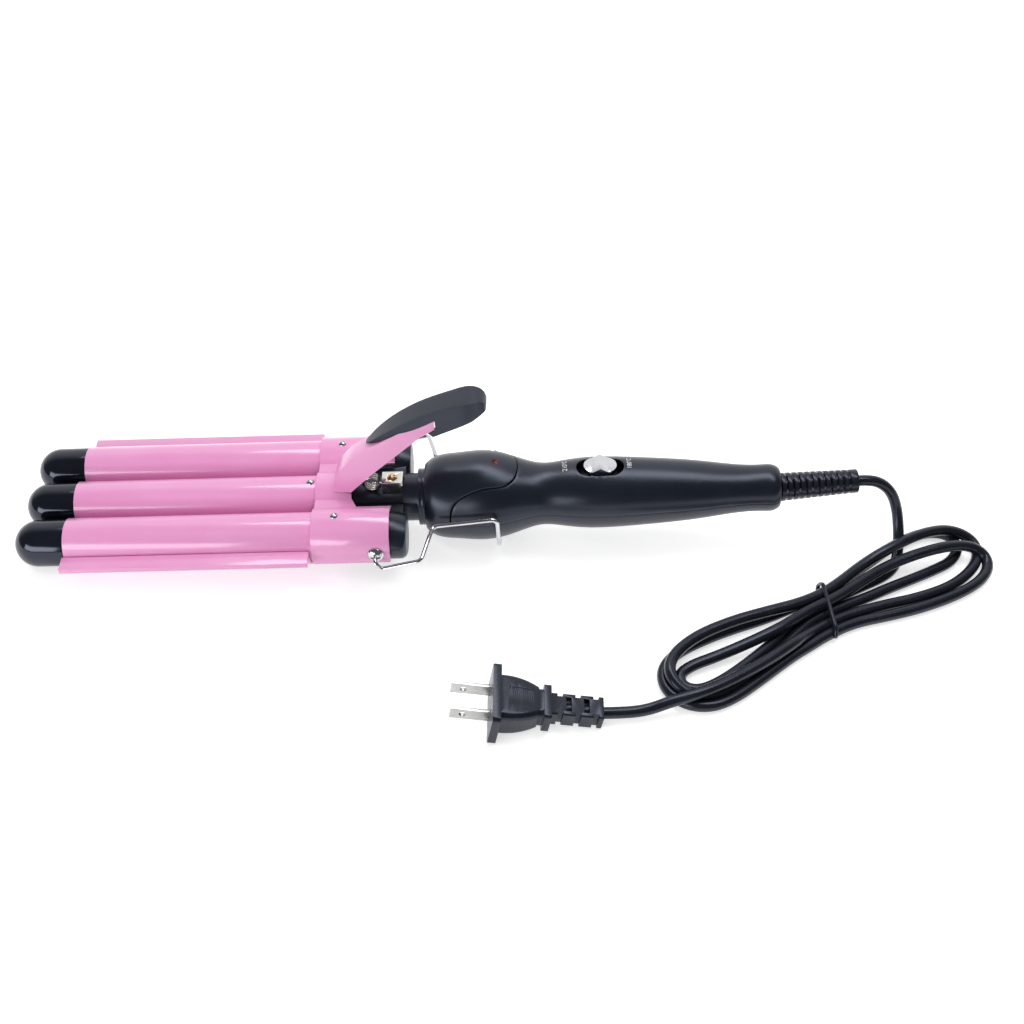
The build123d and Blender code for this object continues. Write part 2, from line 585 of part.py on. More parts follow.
def clip_screw():
    screw = pan_screw(CLIP_HEAD_R, CLIP_HEAD, CLIP_SCREW_R, CLIP_HEIGHT + CLIP_SCREW_BITE)
    return Pos(clip_x, 0, BASE_TOP_Z + CLIP_HEIGHT) * screw


# ---- wave plate ----------------------------------------------------------------------------
def wave_plate():
    high = 2 * BARREL_R
    seat_r = BARREL_R + PLATE_FIT
    inside = disc(-PITCH, trough_r) + disc(PITCH, trough_r) + disc(0, seat_r)
    inside += area(-PITCH, PITCH, RIDGE_Z, high)
    inside += area(-PITCH - trough_r, PITCH + trough_r, 0, high)
    sheet = disc(-PITCH, plate_bottom) + disc(PITCH, plate_bottom) + disc(0, seat_r + PLATE_SHEET)
    sheet += area(-PITCH, PITCH, RIDGE_Z - PLATE_SHEET, 0)
    sheet += area(-PITCH - plate_bottom, PITCH + plate_bottom, 0, WING_TOP)
    for side in (-1, 1):
        near, far = sorted((side * (PITCH + trough_r), side * PLATE_REACH))
        sheet += area(near, far, WING_TOP - PLATE_SHEET, WING_TOP)
        near, far = sorted((side * (PLATE_REACH - PLATE_SHEET), side * PLATE_REACH))
        sheet += area(near, far, WING_TOP - PLATE_SHEET - RIM_DROP, WING_TOP)
    section = (sheet - inside) & area(-2 * PLATE_REACH, 2 * PLATE_REACH, -high, WING_TOP)
    plate = along_x(section, plate_x, plate_end_x)
    return plate - plate_screw_holes()


def plate_screw_holes():
    return [post(-2 * BARREL_R, -BARREL_R / 2, PLATE_SCREW_R + SPIGOT_FIT, x) for x in plate_screw_places()]


def plate_screw_places():
    return [NOSE_LENGTH + NOSE_PLUG + HEATER_GAP / 2, collar_x - PLATE_SCREW_SETBACK]


def plate_screws():
    """Screws from below that hold the plate to the middle barrel."""
    seat = BARREL_R + PLATE_FIT + PLATE_SHEET
    one = Rot(180, 0, 0) * pan_screw(SMALL_HEAD_R, SMALL_HEAD, PLATE_SCREW_R, PLATE_SCREW_LENGTH)
    return Compound(children=[Pos(x, 0, -seat) * one for x in plate_screw_places()])


# ---- handle --------------------------------------------------------------------------------
def handle_solid(grow=0.0, trim=0.0):
    """Turned handle body, grown by a radial amount and shortened at both ends."""
    points = [(x, r + grow) for x, r in HANDLE_OUTLINE]
    if trim:
        points = [(trim, points[1][1] - 1.0)] + points[1:-2] + [(HANDLE_LENGTH - trim, points[-2][1])]
    return Pos(handle_x, 0, 0) * turned(points)


def cover_prism(inset=0.0):
    """Plan outline of the head cover, extruded upwards."""
    right = [(handle_x + x - inset, y - inset) for x, y in COVER_PLAN]
    right[0] = (handle_x + COVER_PLAN[0][0] - inset, COVER_PLAN[0][1])
    left = [(x, -y) for x, y in reversed(right)]
    tip = (handle_x + COVER_TIP - inset, 0)
    front = handle_x - 1.0
    wide = COVER_PLAN[0][1]
    edge = [Spline(right + [tip] + left), Polyline([left[-1], (front, -wide), (front, wide), right[0]])]
    return extrude(make_face(edge), amount=2 * PITCH)


def half_space(sign):
    low, high = sorted((sign * SEAM / 2, sign * 2 * PITCH))
    return block(handle_x - 1, handle_end_x + 1, -2 * PITCH, 2 * PITCH, low, high)


def shell():
    body = handle_solid() - handle_solid(-HANDLE_WALL, FRONT_WALL)
    body -= rod(handle_x - 1, handle_x + 2 * FRONT_WALL, BASE_R + 0.05)
    body -= rod(handle_end_x - 2 * FRONT_WALL, handle_end_x + 1, RELIEF_CORE_R + 2 * SEAM)
    return body


def boss(x, y, sign):
    """Screw boss of one shell, from the parting plane into its wall."""
    reach = sqrt((outline_radius(x) - HANDLE_WALL / 2) ** 2 - (abs(y) + BOSS_R) ** 2)
    low, high = sorted((sign * SEAM / 2, sign * reach))
    return post(low, high, BOSS_R, handle_x + x, y)


def pilot(x, y):
    return post(-SEAM, SCREW_BITE, SCREW_R - 0.15, handle_x + x, y)


def recess(grow=0.0):
    slot = SlotOverall(RECESS_LENGTH + 2 * grow, RECESS_WIDTH + 2 * grow)
    return extrude(Pos(handle_x + SWITCH_X, 0, 0) * slot, amount=2 * PITCH)


def head_cover():
    outer = handle_solid(COVER_RISE) - handle_solid(-HANDLE_WALL, FRONT_WALL)
    outer -= rod(handle_x - 1, handle_x + 2 * FRONT_WALL, BASE_R + 0.05)
    body = outer & half_space(1) & cover_prism(COVER_GAP / 2)
    for x, y in HEAD_BOSSES:
        body += boss(x, y, 1)
        body -= pilot(x, y)
    return body - post(0, 2 * PITCH, LAMP_R, handle_x + LAMP_X)


def handle_top():
    body = (shell() & half_space(1)) - cover_prism(-COVER_GAP / 2)
    for x, y in BODY_BOSSES:
        body += boss(x, y, 1)
        body -= pilot(x, y)
    return body - recess()


def handle_bottom():
    body = shell() & half_space(-1)
    for x, y in BODY_BOSSES + HEAD_BOSSES:
        body += boss(x, y, -1)
        body -= post(-PITCH, screw_seat(x, y), SCREW_CAP_R + 0.1, handle_x + x, y)
        body -= post(-PITCH, 0, SCREW_R + 0.05, handle_x + x, y)
    for y in (-CLAMP_SCREW_Y, CLAMP_SCREW_Y):
        pillar = post(-outline_radius(CLAMP_X) + HANDLE_WALL, CORD_R, CLAMP_PILLAR_R, handle_x + CLAMP_X, y)
        body += pillar & handle_solid(-HANDLE_WALL / 2, FRONT_WALL)
        body -= post(CORD_R - CLAMP_SCREW_LENGTH, CORD_R, CLAMP_SCREW_R, handle_x + CLAMP_X, y)
    return body


def outline_radius(x):
    """Outer radius of the handle at a distance from its front, between the outline's points."""
    for (x0, r0), (x1, r1) in zip(HANDLE_OUTLINE, HANDLE_OUTLINE[1:]):
        if x0 <= x <= x1:
            return r0 + (r1 - r0) * (x - x0) / (x1 - x0)
    return HANDLE_OUTLINE[-1][1]


def screw_seat(x, y):
    """Height of a screw head's seat in the bottom shell."""
    return -sqrt(outline_radius(x) ** 2 - y ** 2) + HANDLE_WALL + SCREW_CAP


def handle_screws():
    group = []
    for x, y in BODY_BOSSES + HEAD_BOSSES:
        seat = screw_seat(x, y)
        one = Rot(180, 0, 0) * pan_screw(SCREW_CAP_R, SCREW_CAP, SCREW_R - 0.15, SCREW_BITE - 1.0 - seat)
        group.append(Pos(handle_x + x, y, seat) * one)
    return Compound(children=group)


# ---- switch, lamp, board -------------------------------------------------------------------
def belly_top():
    return outline_radius(SWITCH_X)


def switch_button():
    """Sliding button with a raised cross ridge; its stem reaches the switch body."""
    x = handle_x + SWITCH_X
    floor = belly_top() - HANDLE_WALL
    top = belly_top() + BUTTON_TOP
    cap = extrude(Pos(x, 0, floor) * SlotOverall(BUTTON_LENGTH, BUTTON_WIDTH), amount=top - floor)
    gable = [(x - RIDGE_HALF, top - BUTTON_TOP), (x, top + RIDGE_HEIGHT), (x + RIDGE_HALF, top - BUTTON_TOP)]
    ridge = side_plate(gable, BUTTON_WIDTH / 2)
    stem = block(x - STEM_HALF, x + STEM_HALF, -STEM_HALF, STEM_HALF, switch_top() + SWITCH_PLAY, floor)
    return cap + ridge + stem


def switch_top():
    return BOARD_Z + BOARD_THICKNESS + SWITCH_HEIGHT


def switch_body():
    """Three-position slide switch on the board."""
    x = handle_x + SWITCH_X
    half = RECESS_LENGTH / 2
    side = SWITCH_WIDTH / 2
    return block(x - half, x + half, -side, side, BOARD_Z + BOARD_THICKNESS, switch_top())


def switch_bezel():
    """Dark slide plate on the switch that hides the inside."""
    x = handle_x + SWITCH_X
    z0 = switch_top()
    z1 = z0 + BEZEL
    length = RECESS_LENGTH / 2 + BEZEL_MARGIN
    width = RECESS_WIDTH / 2 + BEZEL_MARGIN
    slot = STEM_HALF + 2 * SWITCH_PLAY
    run = BUTTON_TRAVEL + slot
    return block(x - length, x + length, -width, width, z0, z1) - block(x - run, x + run, -slot, slot, z0, z1)


def circuit_board():
    half = BOARD_WIDTH / 2
    return block(board_x, board_end_x, -half, half, BOARD_Z, BOARD_Z + BOARD_THICKNESS)


def thermal_fuse():
    start = board_x + FUSE_R
    return rod(start, start + FUSE_LENGTH, FUSE_R, FUSE_Y, BOARD_Z - FUSE_R)


def power_lamp():
    """Red indicator: a lens through the head cover and its collar inside."""
    x = handle_x + LAMP_X
    top = outline_radius(LAMP_X) + COVER_RISE
    lens_r = LAMP_R - LAMP_FIT
    low = top - LAMP_LENGTH
    lens = post(low, top, lens_r, x) + Pos(x, 0, top + LAMP_DOME - lens_r) * Sphere(lens_r)
    return lens + post(low, top - HANDLE_WALL - COVER_RISE - LAMP_DOME, LAMP_R + LAMP_COLLAR, x)


def heater_leads():
    """Insulated leads from the board through the neck to the pivot's cross bore."""
    start = pivot_x
    end = handle_x + BODY_BOSSES[0][0] - BOSS_R - BOARD_END_GAP
    return Compound(children=[rod(start, end, LEAD_R, y, z) for y, z in LEAD_PLACES])


# ---- lead entry ----------------------------------------------------------------------------
def relief_place():
    """Frame at the handle's end whose X runs down the strain relief."""
    return Pos(handle_end_x, 0, 0) * Rot(0, 0, RELIEF_YAW)


def strain_relief():
    """Ribbed sleeve, its root and a flange behind the handle's end wall."""
    inner = FRONT_WALL + RELIEF_FLANGE + SEAM
    root = rod(-inner, 0, RELIEF_CORE_R) + rod(-inner, RELIEF_FLANGE - inner, RELIEF_FLANGE_R)
    sleeve = rod(0, RELIEF_LENGTH + SEAM, RELIEF_CORE_R) + Sphere(RELIEF_CORE_R)
    lean = RELIEF_ROOT_R * tan(radians(RELIEF_YAW))
    pitch = (RELIEF_LENGTH - lean - 2 * RELIEF_RIB) / RELIEF_RIBS
    for i in range(RELIEF_RIBS + 1):
        r = RELIEF_ROOT_R + (RELIEF_TIP_R - RELIEF_ROOT_R) * i / RELIEF_RIBS
        x = SEAM + lean + i * pitch
        width = RELIEF_RIB if i < RELIEF_RIBS else RELIEF_LENGTH + SEAM - x
        sleeve += rod(x, x + width, r)
        if i < RELIEF_RIBS:
            y, z = (r - RELIEF_INSET, RELIEF_BRIDGE) if i % 2 == 0 else (RELIEF_BRIDGE, r - RELIEF_INSET)
            sleeve += block(x, x + pitch, -y, y, -z, z)
    body = Pos(handle_end_x, 0, 0) * root + relief_place() * sleeve
    return body - cord_in_handle()


def cord_in_handle():
    """The lead from inside the handle to the relief's end."""
    straight = rod(handle_x + CLAMP_X - CORD_TAIL, handle_end_x, CORD_R)
    knee = Pos(handle_end_x, 0, 0) * Sphere(CORD_R)
    return straight + knee + relief_place() * rod(0, RELIEF_LENGTH + SEAM, CORD_R)


def cord_clamp():
    """Bar that grips the lead inside the handle."""
    x = handle_x + CLAMP_X
    half = CLAMP_SCREW_Y + CLAMP_BAR
    bar = block(x - CLAMP_BAR, x + CLAMP_BAR, -half, half, CORD_R, CORD_R + CLAMP_BAR)
    for y in (-CLAMP_SCREW_Y, CLAMP_SCREW_Y):
        bar -= post(0, 2 * CORD_R + CLAMP_BAR, CLAMP_SCREW_R + SPIGOT_FIT, x, y)
    return bar


def cord_clamp_screws():
    one = pan_screw(CLAMP_HEAD_R, CLAMP_HEAD, CLAMP_SCREW_R, CLAMP_SCREW_LENGTH + CLAMP_BAR - SCREW_END_GAP)
    z = CORD_R + CLAMP_BAR
    pair = [Pos(handle_x + CLAMP_X, y, z) * one for y in (-CLAMP_SCREW_Y, CLAMP_SCREW_Y)]
    return Compound(children=pair)


# ---- lead on the table ---------------------------------------------------------------------
def cord_tube(name, points):
    """Straight runs joined by tangent arcs, each as large as its shorter run allows."""
    corners = [Vector(*p) for p in points]
    radii = []
    for before, here, after in zip(corners, corners[1:], corners[2:]):
        turn = radians((here - before).get_angle(after - here))
        shorter = min((here - before).length, (after - here).length)
        radii.append(CORD_STEP * shorter / tan(turn / 2))
    path = FilletPolyline(corners, radius=radii)
    tube = sweep(Plane(path @ 0, z_dir=path % 0) * Circle(CORD_R), path)
    print(name, "radii", [round(r, 1) for r in radii], "length", round(path.length, 1),
          "volume share", round(tube.volume / (pi * CORD_R ** 2 * path.length), 4))
    return tube


def plug_place(exit_x):
    pitch = degrees(asin((plug_rest() - tail_rest()) / plug_length))
    at = Pos(PLUG_AT[0] + exit_x - ROUTE_X, PLUG_AT[1], plug_rest())
    return at * Rot(0, pitch, 0) * Rot(PLUG_ROLL, 0, 0)


def rolled_half(width, height, corner):
    """Half height of a rounded section that lies rolled like the plug."""
    side = (width / 2 - corner) * sin(radians(PLUG_ROLL))
    return side + (height / 2 - corner) * cos(radians(PLUG_ROLL)) + corner


def tail_rest():
    """Height of the plug's tail over the table."""
    return rolled_half(*TAIL_RELIEF, TAIL_CORNER)


def plug_rest():
    """Height of the flange's middle when the plug lies on one corner of it and on its tail."""
    low = rolled_half(FLANGE_WIDTH, FLANGE_HEIGHT, FLANGE_CORNER)
    return low + FLANGE_THICK * (low - tail_rest()) / plug_length


def rounded(x, width, height, corner):
    return Plane.YZ.offset(x) * RectangleRounded(width, height, corner)


def grip():
    """Bulged grip between the flange and the neck, with grooves across its face."""
    end = FLANGE_THICK + GRIP_LENGTH
    middle = FLANGE_THICK + GRIP_FULL_AT * GRIP_LENGTH
    sections = [rounded(FLANGE_THICK, *GRIP_ROOT, GRIP_CORNER), rounded(middle, *GRIP_FULL, GRIP_CORNER),
                rounded(end, *GRIP_END, GRIP_CORNER)]
    body = loft(sections)
    half = GRIP_GROOVE_LENGTH / 2
    for i in range(GRIP_GROOVES):
        x = FLANGE_THICK + GRIP_GROOVE_START + i * GRIP_PITCH
        body -= block(x, x + GRIP_PITCH / 2, -half, half, groove_floor(x), GRIP_ROOT[1])
    return body


def groove_floor(x):
    """Height of a groove's floor: under the grip's face at that distance."""
    middle = FLANGE_THICK + GRIP_FULL_AT * GRIP_LENGTH
    if x < middle:
        start, size, to_size, span = FLANGE_THICK, GRIP_ROOT, GRIP_FULL, middle - FLANGE_THICK
    else:
        start, size, to_size, span = middle, GRIP_FULL, GRIP_END, FLANGE_THICK + GRIP_LENGTH - middle
    return (size[1] + (to_size[1] - size[1]) * (x - start) / span) / 2 - GRIP_GROOVE_DEPTH


def tail_relief():
    """The plug's own strain relief: a block with notched sides and windows in its faces."""
    width, height = TAIL_RELIEF
    body = extrude(rounded(plug_tail_x, width, height, TAIL_CORNER), amount=TAIL_RELIEF_LENGTH)
    inner = width / 2 - TAIL_NOTCH_DEPTH
    for start in TAIL_NOTCHES:
        x = plug_tail_x + start
        body -= block(x, x + TAIL_CUT, inner, width, -height, height)
        body -= block(x, x + TAIL_CUT, -width, -inner, -height, height)
    for start in TAIL_WINDOWS:
        x = plug_tail_x + start
        window = block(x, x + TAIL_CUT, -TAIL_WINDOW_HALF, TAIL_WINDOW_HALF, -height, height)
        body -= window - rod(x - 1, x + TAIL_CUT + 1, CORD_R + TAIL_SKIN)
    return body


def plug_body():
    """Moulded plug along +X from its flange: grip, neck, ring and its own strain relief."""
    body = extrude(rounded(0, FLANGE_WIDTH, FLANGE_HEIGHT, FLANGE_CORNER), amount=FLANGE_THICK)
    neck_start = FLANGE_THICK + GRIP_LENGTH
    body += grip() + extrude(rounded(neck_start, *PLUG_NECK, GRIP_CORNER), amount=PLUG_NECK_LENGTH)
    body += extrude(rounded(plug_ring_x, *PLUG_RING, PLUG_RING_CORNER), amount=PLUG_RING_LENGTH)
    body += tail_relief()
    for y in (-BLADE_SPACING / 2, BLADE_SPACING / 2):
        body -= blade(y)
    return body


def blade(y):
    half = BLADE_THICK / 2
    flat = block(-BLADE_LENGTH, BLADE_ROOT, y - half, y + half, -BLADE_WIDTH / 2, BLADE_WIDTH / 2)
    return flat - cross_rod(y - BLADE_THICK, y + BLADE_THICK, BLADE_HOLE_R, -BLADE_HOLE_AT, 0)


def plug_blades():
    return Compound(children=[blade(y) for y in (-BLADE_SPACING / 2, BLADE_SPACING / 2)])


def hank_tie(grow=0.0):
    """Wire tie round the hank, standing across it."""
    low = TIE_WIRE_R
    high = HANK_HEIGHT + TIE_WIRE_R
    middle = (low + high) / 2
    ring = Plane.XZ * Pos(0, middle) * RectangleRounded(2 * TIE_HALF, high - low, (high - low) / 2.2)
    path = ring.wires()[0]
    wire = sweep(Plane(path @ 0, z_dir=path % 0) * Circle(TIE_WIRE_R + grow), path)
    return Pos(*TIE_AT, 0) * Rot(0, 0, TIE_TURN) * wire


def hank():
    """The tied loops of the lead as one closed form."""
    outline = make_face(Spline([Vector(*p) for p in HANK_OUTLINE], periodic=True))
    return extrude(outline, amount=HANK_HEIGHT) - hank_tie(TIE_FIT)


def cord_nodes(exit_point):
    """Everything of the lead that lies outside the handle, in table coordinates."""
    move = Pos(exit_point.X - ROUTE_X, 0, 0)
    coil = hank()
    start = (ROUTE_X, exit_point.Y, exit_point.Z)
    into_hank = (LEAD_POINTS[-1][0] * 2 - LEAD_POINTS[-2][0], LEAD_POINTS[-1][1] * 2 - LEAD_POINTS[-2][1],
                 LEAD_POINTS[-1][2] + 0.01)
    lead = cord_tube("lead", [start] + LEAD_POINTS + [into_hank]) - coil
    plug = plug_place(ROUTE_X)
    plug_end = plug * Pos(plug_length, 0, 0)
    tail = cord_tube("tail", TAIL_POINTS + [tuple(plug_end.position)]) - coil
    group = {"cord_lead": lead, "cord_hank": coil, "cord_tie": hank_tie(), "cord_tail": tail,
             "plug_body": plug * plug_body(), "plug_blades": plug * plug_blades()}
    return {name: move * shape for name, shape in group.items()}


# ---- stand ---------------------------------------------------------------------------------
def stand_wire():
    """One bent wire: a pin in each pivot screw, a leg, and a bend under the head."""
    r = STAND_ARC_R
    x_end = pivot_x + STAND_REACH
    knee, shoulder, elbow = from_pivot([STAND_KNEE, STAND_SHOULDER, STAND_ELBOW])
    side = [(pivot_x, PIN_LENGTH - head_y, 0), (pivot_x, -STAND_LEG_Y, 0)]
    side += [(x, -STAND_LEG_Y, z) for x, z in (knee, shoulder)]
    side += [(elbow[0], -r, elbow[1]), (x_end, -r, STAND_HEAD_Z)]
    k = tan(radians(22.5))
    under = [(x_end + 0.3, -r, -k * r), (x_end + 0.3, -k * r, -r)]
    half = side + under
    points = half + [(x, -y, z) for x, y, z in reversed(half)]
    radii = STAND_BENDS + [STAND_ROUND] * 4 + STAND_BENDS[::-1]
    path = FilletPolyline(points, radius=radii)
    return sweep(Plane(path @ 0, z_dir=path % 0) * Circle(WIRE_R), path)


# ---- lay down ------------------------------------------------------------------------------
def lying():
    """Turn that rests the plate's front edge and the stand's bend on the table."""
    run = pivot_x + STAND_REACH - plate_x
    drop = STAND_ARC_R - plate_bottom
    return degrees(atan2(drop, run) + asin(WIRE_R / hypot(run, drop)))


def build():
    nodes = {}
    for name, y in all_barrels.items():
        if name == "middle":
            nodes[name + "_barrel"] = tube(y, shoulder_x, middle_screw_x) - plate_screw_holes()
        else:
            nodes[name + "_barrel"] = tube(y, tube_end_x, collar_screw_x)
        nodes[name + "_nose"] = nose(y)
        nodes[name + "_heater_shoes"] = heater_shoes(y)
        nodes[name + "_ceramic_heater"] = ceramic(y)
    for name, y in outer_barrels.items():
        nodes[name + "_root_plug"] = root_plug(y) - top_hole(collar_screw_x, y)
    nodes["clamp_bracket"] = clamp_bracket()
    nodes["thumb_rest"] = thumb_rest()
    nodes["thumb_rest_rivet"] = rest_rivet()
    nodes["collar_screws"] = collar_screws()
    nodes["middle_root_screw"] = middle_root_screw()
    nodes["wave_plate"] = wave_plate()
    nodes["wave_plate_screws"] = plate_screws()
    nodes["barrel_base"] = barrel_base()
    nodes["hinge_screws"] = hinge_screws()
    nodes["clamp_spring"] = clamp_spring()
    nodes["spring_clip"] = spring_clip()
    nodes["spring_clip_screw"] = clip_screw()
    nodes["head_cover"] = head_cover()
    nodes["handle_top"] = handle_top()
    nodes["handle_bottom"] = handle_bottom()
    nodes["handle_screws"] = handle_screws()
    nodes["circuit_board"] = circuit_board()
    nodes["thermal_fuse"] = thermal_fuse()
    nodes["switch_body"] = switch_body()
    nodes["switch_bezel"] = switch_bezel()
    nodes["switch_button"] = switch_button()
    nodes["power_lamp"] = power_lamp()
    nodes["heater_leads"] = heater_leads()
    nodes["strain_relief"] = strain_relief()
    nodes["inner_cord"] = cord_in_handle()
    nodes["cord_clamp"] = cord_clamp()
    nodes["cord_clamp_screws"] = cord_clamp_screws()
    nodes["stand_wire"] = stand_wire()
    return nodes


def place(nodes):
    """Lay the object down and put the middle of its box at X = Y = 0, on Z = 0."""
    turn = Rot(0, -lying(), 0)
    laid = {name: turn * shape for name, shape in nodes.items()}
    boxes = [shape.bounding_box(optimal=True) for shape in laid.values()]
    low_x = min(b.min.X for b in boxes)
    high_x = max(b.max.X for b in boxes)
    low_z = min(b.min.Z for b in boxes)
    shift = Pos(-(low_x + high_x) / 2, 0, -low_z)
    print("lying turn", round(lying(), 4), "shift", round(-(low_x + high_x) / 2, 4), round(-low_z, 4))
    cord_exit = shift * turn * relief_place() * Pos(RELIEF_LENGTH + SEAM, 0, 0)
    print("lead leaves at", cord_exit.position)
    standing = {name: shift * shape for name, shape in laid.items()}
    return standing | cord_nodes(cord_exit.position)


os.makedirs("parts", exist_ok=True)
for node, shape in place(build()).items():
    export_step(shape, "parts/" + node + ".step")
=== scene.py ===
"""Dresses the hair waver's frame: cord, finishes, fine detail and stage."""
import json
from math import radians

import bpy
from bpy.props import FloatProperty, FloatVectorProperty, PointerProperty
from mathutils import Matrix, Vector


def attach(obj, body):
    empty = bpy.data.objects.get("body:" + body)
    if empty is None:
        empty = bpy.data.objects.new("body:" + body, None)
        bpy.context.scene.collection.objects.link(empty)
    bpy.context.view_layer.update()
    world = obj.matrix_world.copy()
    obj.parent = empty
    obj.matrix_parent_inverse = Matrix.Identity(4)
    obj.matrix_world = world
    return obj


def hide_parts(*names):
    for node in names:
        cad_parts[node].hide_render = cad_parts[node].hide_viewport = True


bl_info = {
    "name": "Hair waver",
    "version": (1, 0, 0),
    "blender": (4, 5, 0),
    "location": "View3D > Sidebar > Hair waver",
    "description": "Dresses the hair waver's frame with its cord, finishes, printed marks and stage",
    "category": "Add Mesh",
}

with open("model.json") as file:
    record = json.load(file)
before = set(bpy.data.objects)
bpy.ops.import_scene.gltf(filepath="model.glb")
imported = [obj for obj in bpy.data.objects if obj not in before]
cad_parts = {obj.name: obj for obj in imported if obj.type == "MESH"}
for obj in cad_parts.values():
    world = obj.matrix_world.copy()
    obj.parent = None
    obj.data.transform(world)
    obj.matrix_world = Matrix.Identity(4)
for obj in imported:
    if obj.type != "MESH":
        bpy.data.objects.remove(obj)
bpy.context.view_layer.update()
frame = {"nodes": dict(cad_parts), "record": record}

# ---- names and tolerances --------------------------------------------------------------------
MM = 0.001
MERGE = 2e-6                # corners closer than this are one
FLAT_ANGLE = radians(0.35)  # neighbouring faces flatter than this are joined
EDGE_ANGLE = radians(32)    # edges sharper than this are rounded
GRIP_ANGLE = radians(40)    # the same on the plug, whose ribs are shallow

# ---- rounding of the edges, in metres --------------------------------------------------------
FINE_EDGE = 0.0001          # small screws, spring clip and switch frame
GRIP_EDGE = 0.00012         # plug, whose fine ribs leave room for no more, and its blades
THIN_EDGE = 0.0002          # barrels, nose caps, wave plate and hinge screws
FORMED_EDGE = 0.0003        # clamp bracket and slide button
BASE_EDGE = 0.0004          # barrel base
SOFT_EDGE = 0.0006          # thumb rest and head cover
SOFT_SEGMENTS = 3           # facets across a soft edge
PLAIN_SEGMENTS = 2          # facets across any other edge

# ---- switch and its printed marks, in metres -------------------------------------------------
SHADED_SIDE_FACING = 0.7           # a face whose normal has more Y than this is one of the button's sides, painted satin black as painted shade and dark reflection
MARKS = (("210\u00b0C", 0.05735), ("180\u00b0C", 0.08710))  # text and its middle along the handle
MARK_Y = 0.0022
MARK_Z = 0.06               # height that the marks are projected down from
MARK_LIFT = 0.00002         # how far the print stands off the shell
MARK_TURN = radians(90)
MARK_CUTS = 3               # cuts in each edge, so that the print follows the shell

# ---- shaders ---------------------------------------------------------------------------------
BLUE_SHEEN = (0.74, 0.80, 1.0, 1.0)  # tint of the light that the black plastics throw back
METAL = {"Metallic": 1.0}
GRAIN_DETAIL = 3.0
CLOUD_DETAIL = 4.0
CLOUD_RANGE = (0.35, 0.65)  # noise values that become no cloud and full cloud
LINE_DETAIL = 2.0
LINE_SIZE = 900.0

# ---- stage, in metres ------------------------------------------------------------------------
CAMERA_AT = (0.020165, -0.484805, 0.487516)
CAMERA_TURN = (45.6071, -1.4634, -0.15226)  # degrees
CAMERA_SENSOR = 36.0        # millimetres
# each lamp's place, target, width and height, and whether glossy surfaces mirror it
LAMPS = {
    "top": ((0.16, 0.20, 0.85), (0.0, 0.0, 0.0), 0.9, 0.25, True),
    "key": ((-0.32, -0.30, 0.80), (-0.12, 0.0, 0.0), 0.7, 0.14, False),
    "front": ((-0.60, -0.80, 0.25), (-0.10, 0.0, 0.02), 0.9, 0.34, True),
}
FLOOR_SIZE = 8.0
FLOOR_Z = -0.0002           # a hair under what rests on it
FLOOR_ROUGHNESS = 0.9
FLOOR_GLOW = 0.62           # lifts the floor towards white where it is seen or mirrored
ROOM_DARK = 0.12            # light from above and from the camera's side
ROOM_BRIGHT = 1.05          # light from the backdrop behind the object
ROOM_RANGE = (0.1, 0.75)    # a direction's Y where the backdrop's light begins and where it is full

node_bodies = {
    node: body for body, nodes in frame["record"]["behaviour"]["bodies"].items() for node in nodes
}

# ---- the cord's route, in metres unless a comment says millimetres ---------------------------
CORD_STEPS = 10             # steps along the line from point to point
CORD_ROUNDNESS = 7          # how finely the line's section is divided
EXIT = (0.194684, 0.002899, 0.034335)
PLUG_END = (0.07172, -0.1124, 0.00451)
TIE_AT = Vector((0.177, -0.0526, 0))
TIE_ALONG = Vector((0.866, 0.5, 0))
TIE_ACROSS = Vector((-0.5, 0.866, 0))
TIE_REACH = 0.008           # each strand passes the tie on a straight run this long each side
# each strand's place across the tie and its height, in millimetres
TIE_LANES = {
    "a": (10.4, 2.6), "b": (5.2, 2.6), "c": (0, 2.6), "d": (-5.2, 2.6), "g": (-10.4, 2.6),
    "e": (7.8, 7.2), "f": (2.6, 7.2),
}

# Control points of the cord's line in millimetres, in order from the handle to the plug.

# from the strain relief down to the table
LEAD_RUN = [
    (200.8, 3.4, 34.7), (207.6, 3.7, 32.2), (213.3, 3, 26.6), (216.8, 0.6, 18.6),
    (218.3, -4.6, 10.4), (217.9, -12.2, 4.6), (215.2, -21.5, 2.6), (208.6, -28.6, 2.6),
    (195.1, -36, 2.6),
]
# innermost loop at the left
SMALL_LEFT_LOOP = [
    (160.1, -59.3, 2.6), (151.8, -69, 2.6), (142.9, -77.6, 2.6), (132.8, -86.7, 2.6),
    (122.6, -94.4, 2.6), (113.9, -98.3, 2.6), (107.3, -95.9, 2.6), (106.6, -89.6, 2.9),
    (112.6, -84.7, 3.3), (123.1, -80.4, 4), (137, -74.4, 5.8), (152.7, -66.5, 7.7),
    (160.8, -60.5, 7.6),
]
# outermost loop at the right, over the lead
OUTER_RIGHT_LOOP = [
    (199, -33.5, 7.4), (212.2, -25.1, 8.2), (225.7, -19.6, 9.6), (239.3, -15.3, 10.2),
    (250.8, -12.4, 8), (258.7, -14.2, 4.4), (259.8, -21.6, 2.6), (253.2, -31, 2.6),
    (240.4, -39.6, 2.6), (223.4, -47.4, 2.6), (207.6, -52.6, 2.6),
]
# flat loop at the left
LOW_LEFT_LOOP = [
    (167.2, -71.6, 2.6), (159.8, -76.8, 2.6), (151.2, -83.9, 2.6), (140.9, -92.8, 2.6),
    (130.1, -101.6, 2.6), (119.4, -106.9, 2.6), (108.3, -105.9, 2.6), (100.3, -98.5, 2.6),
    (98.9, -87.8, 2.6), (104.8, -78.6, 2.6), (117.3, -70.3, 2.6), (133.1, -62.5, 2.6),
    (149.9, -55.7, 2.6),
]
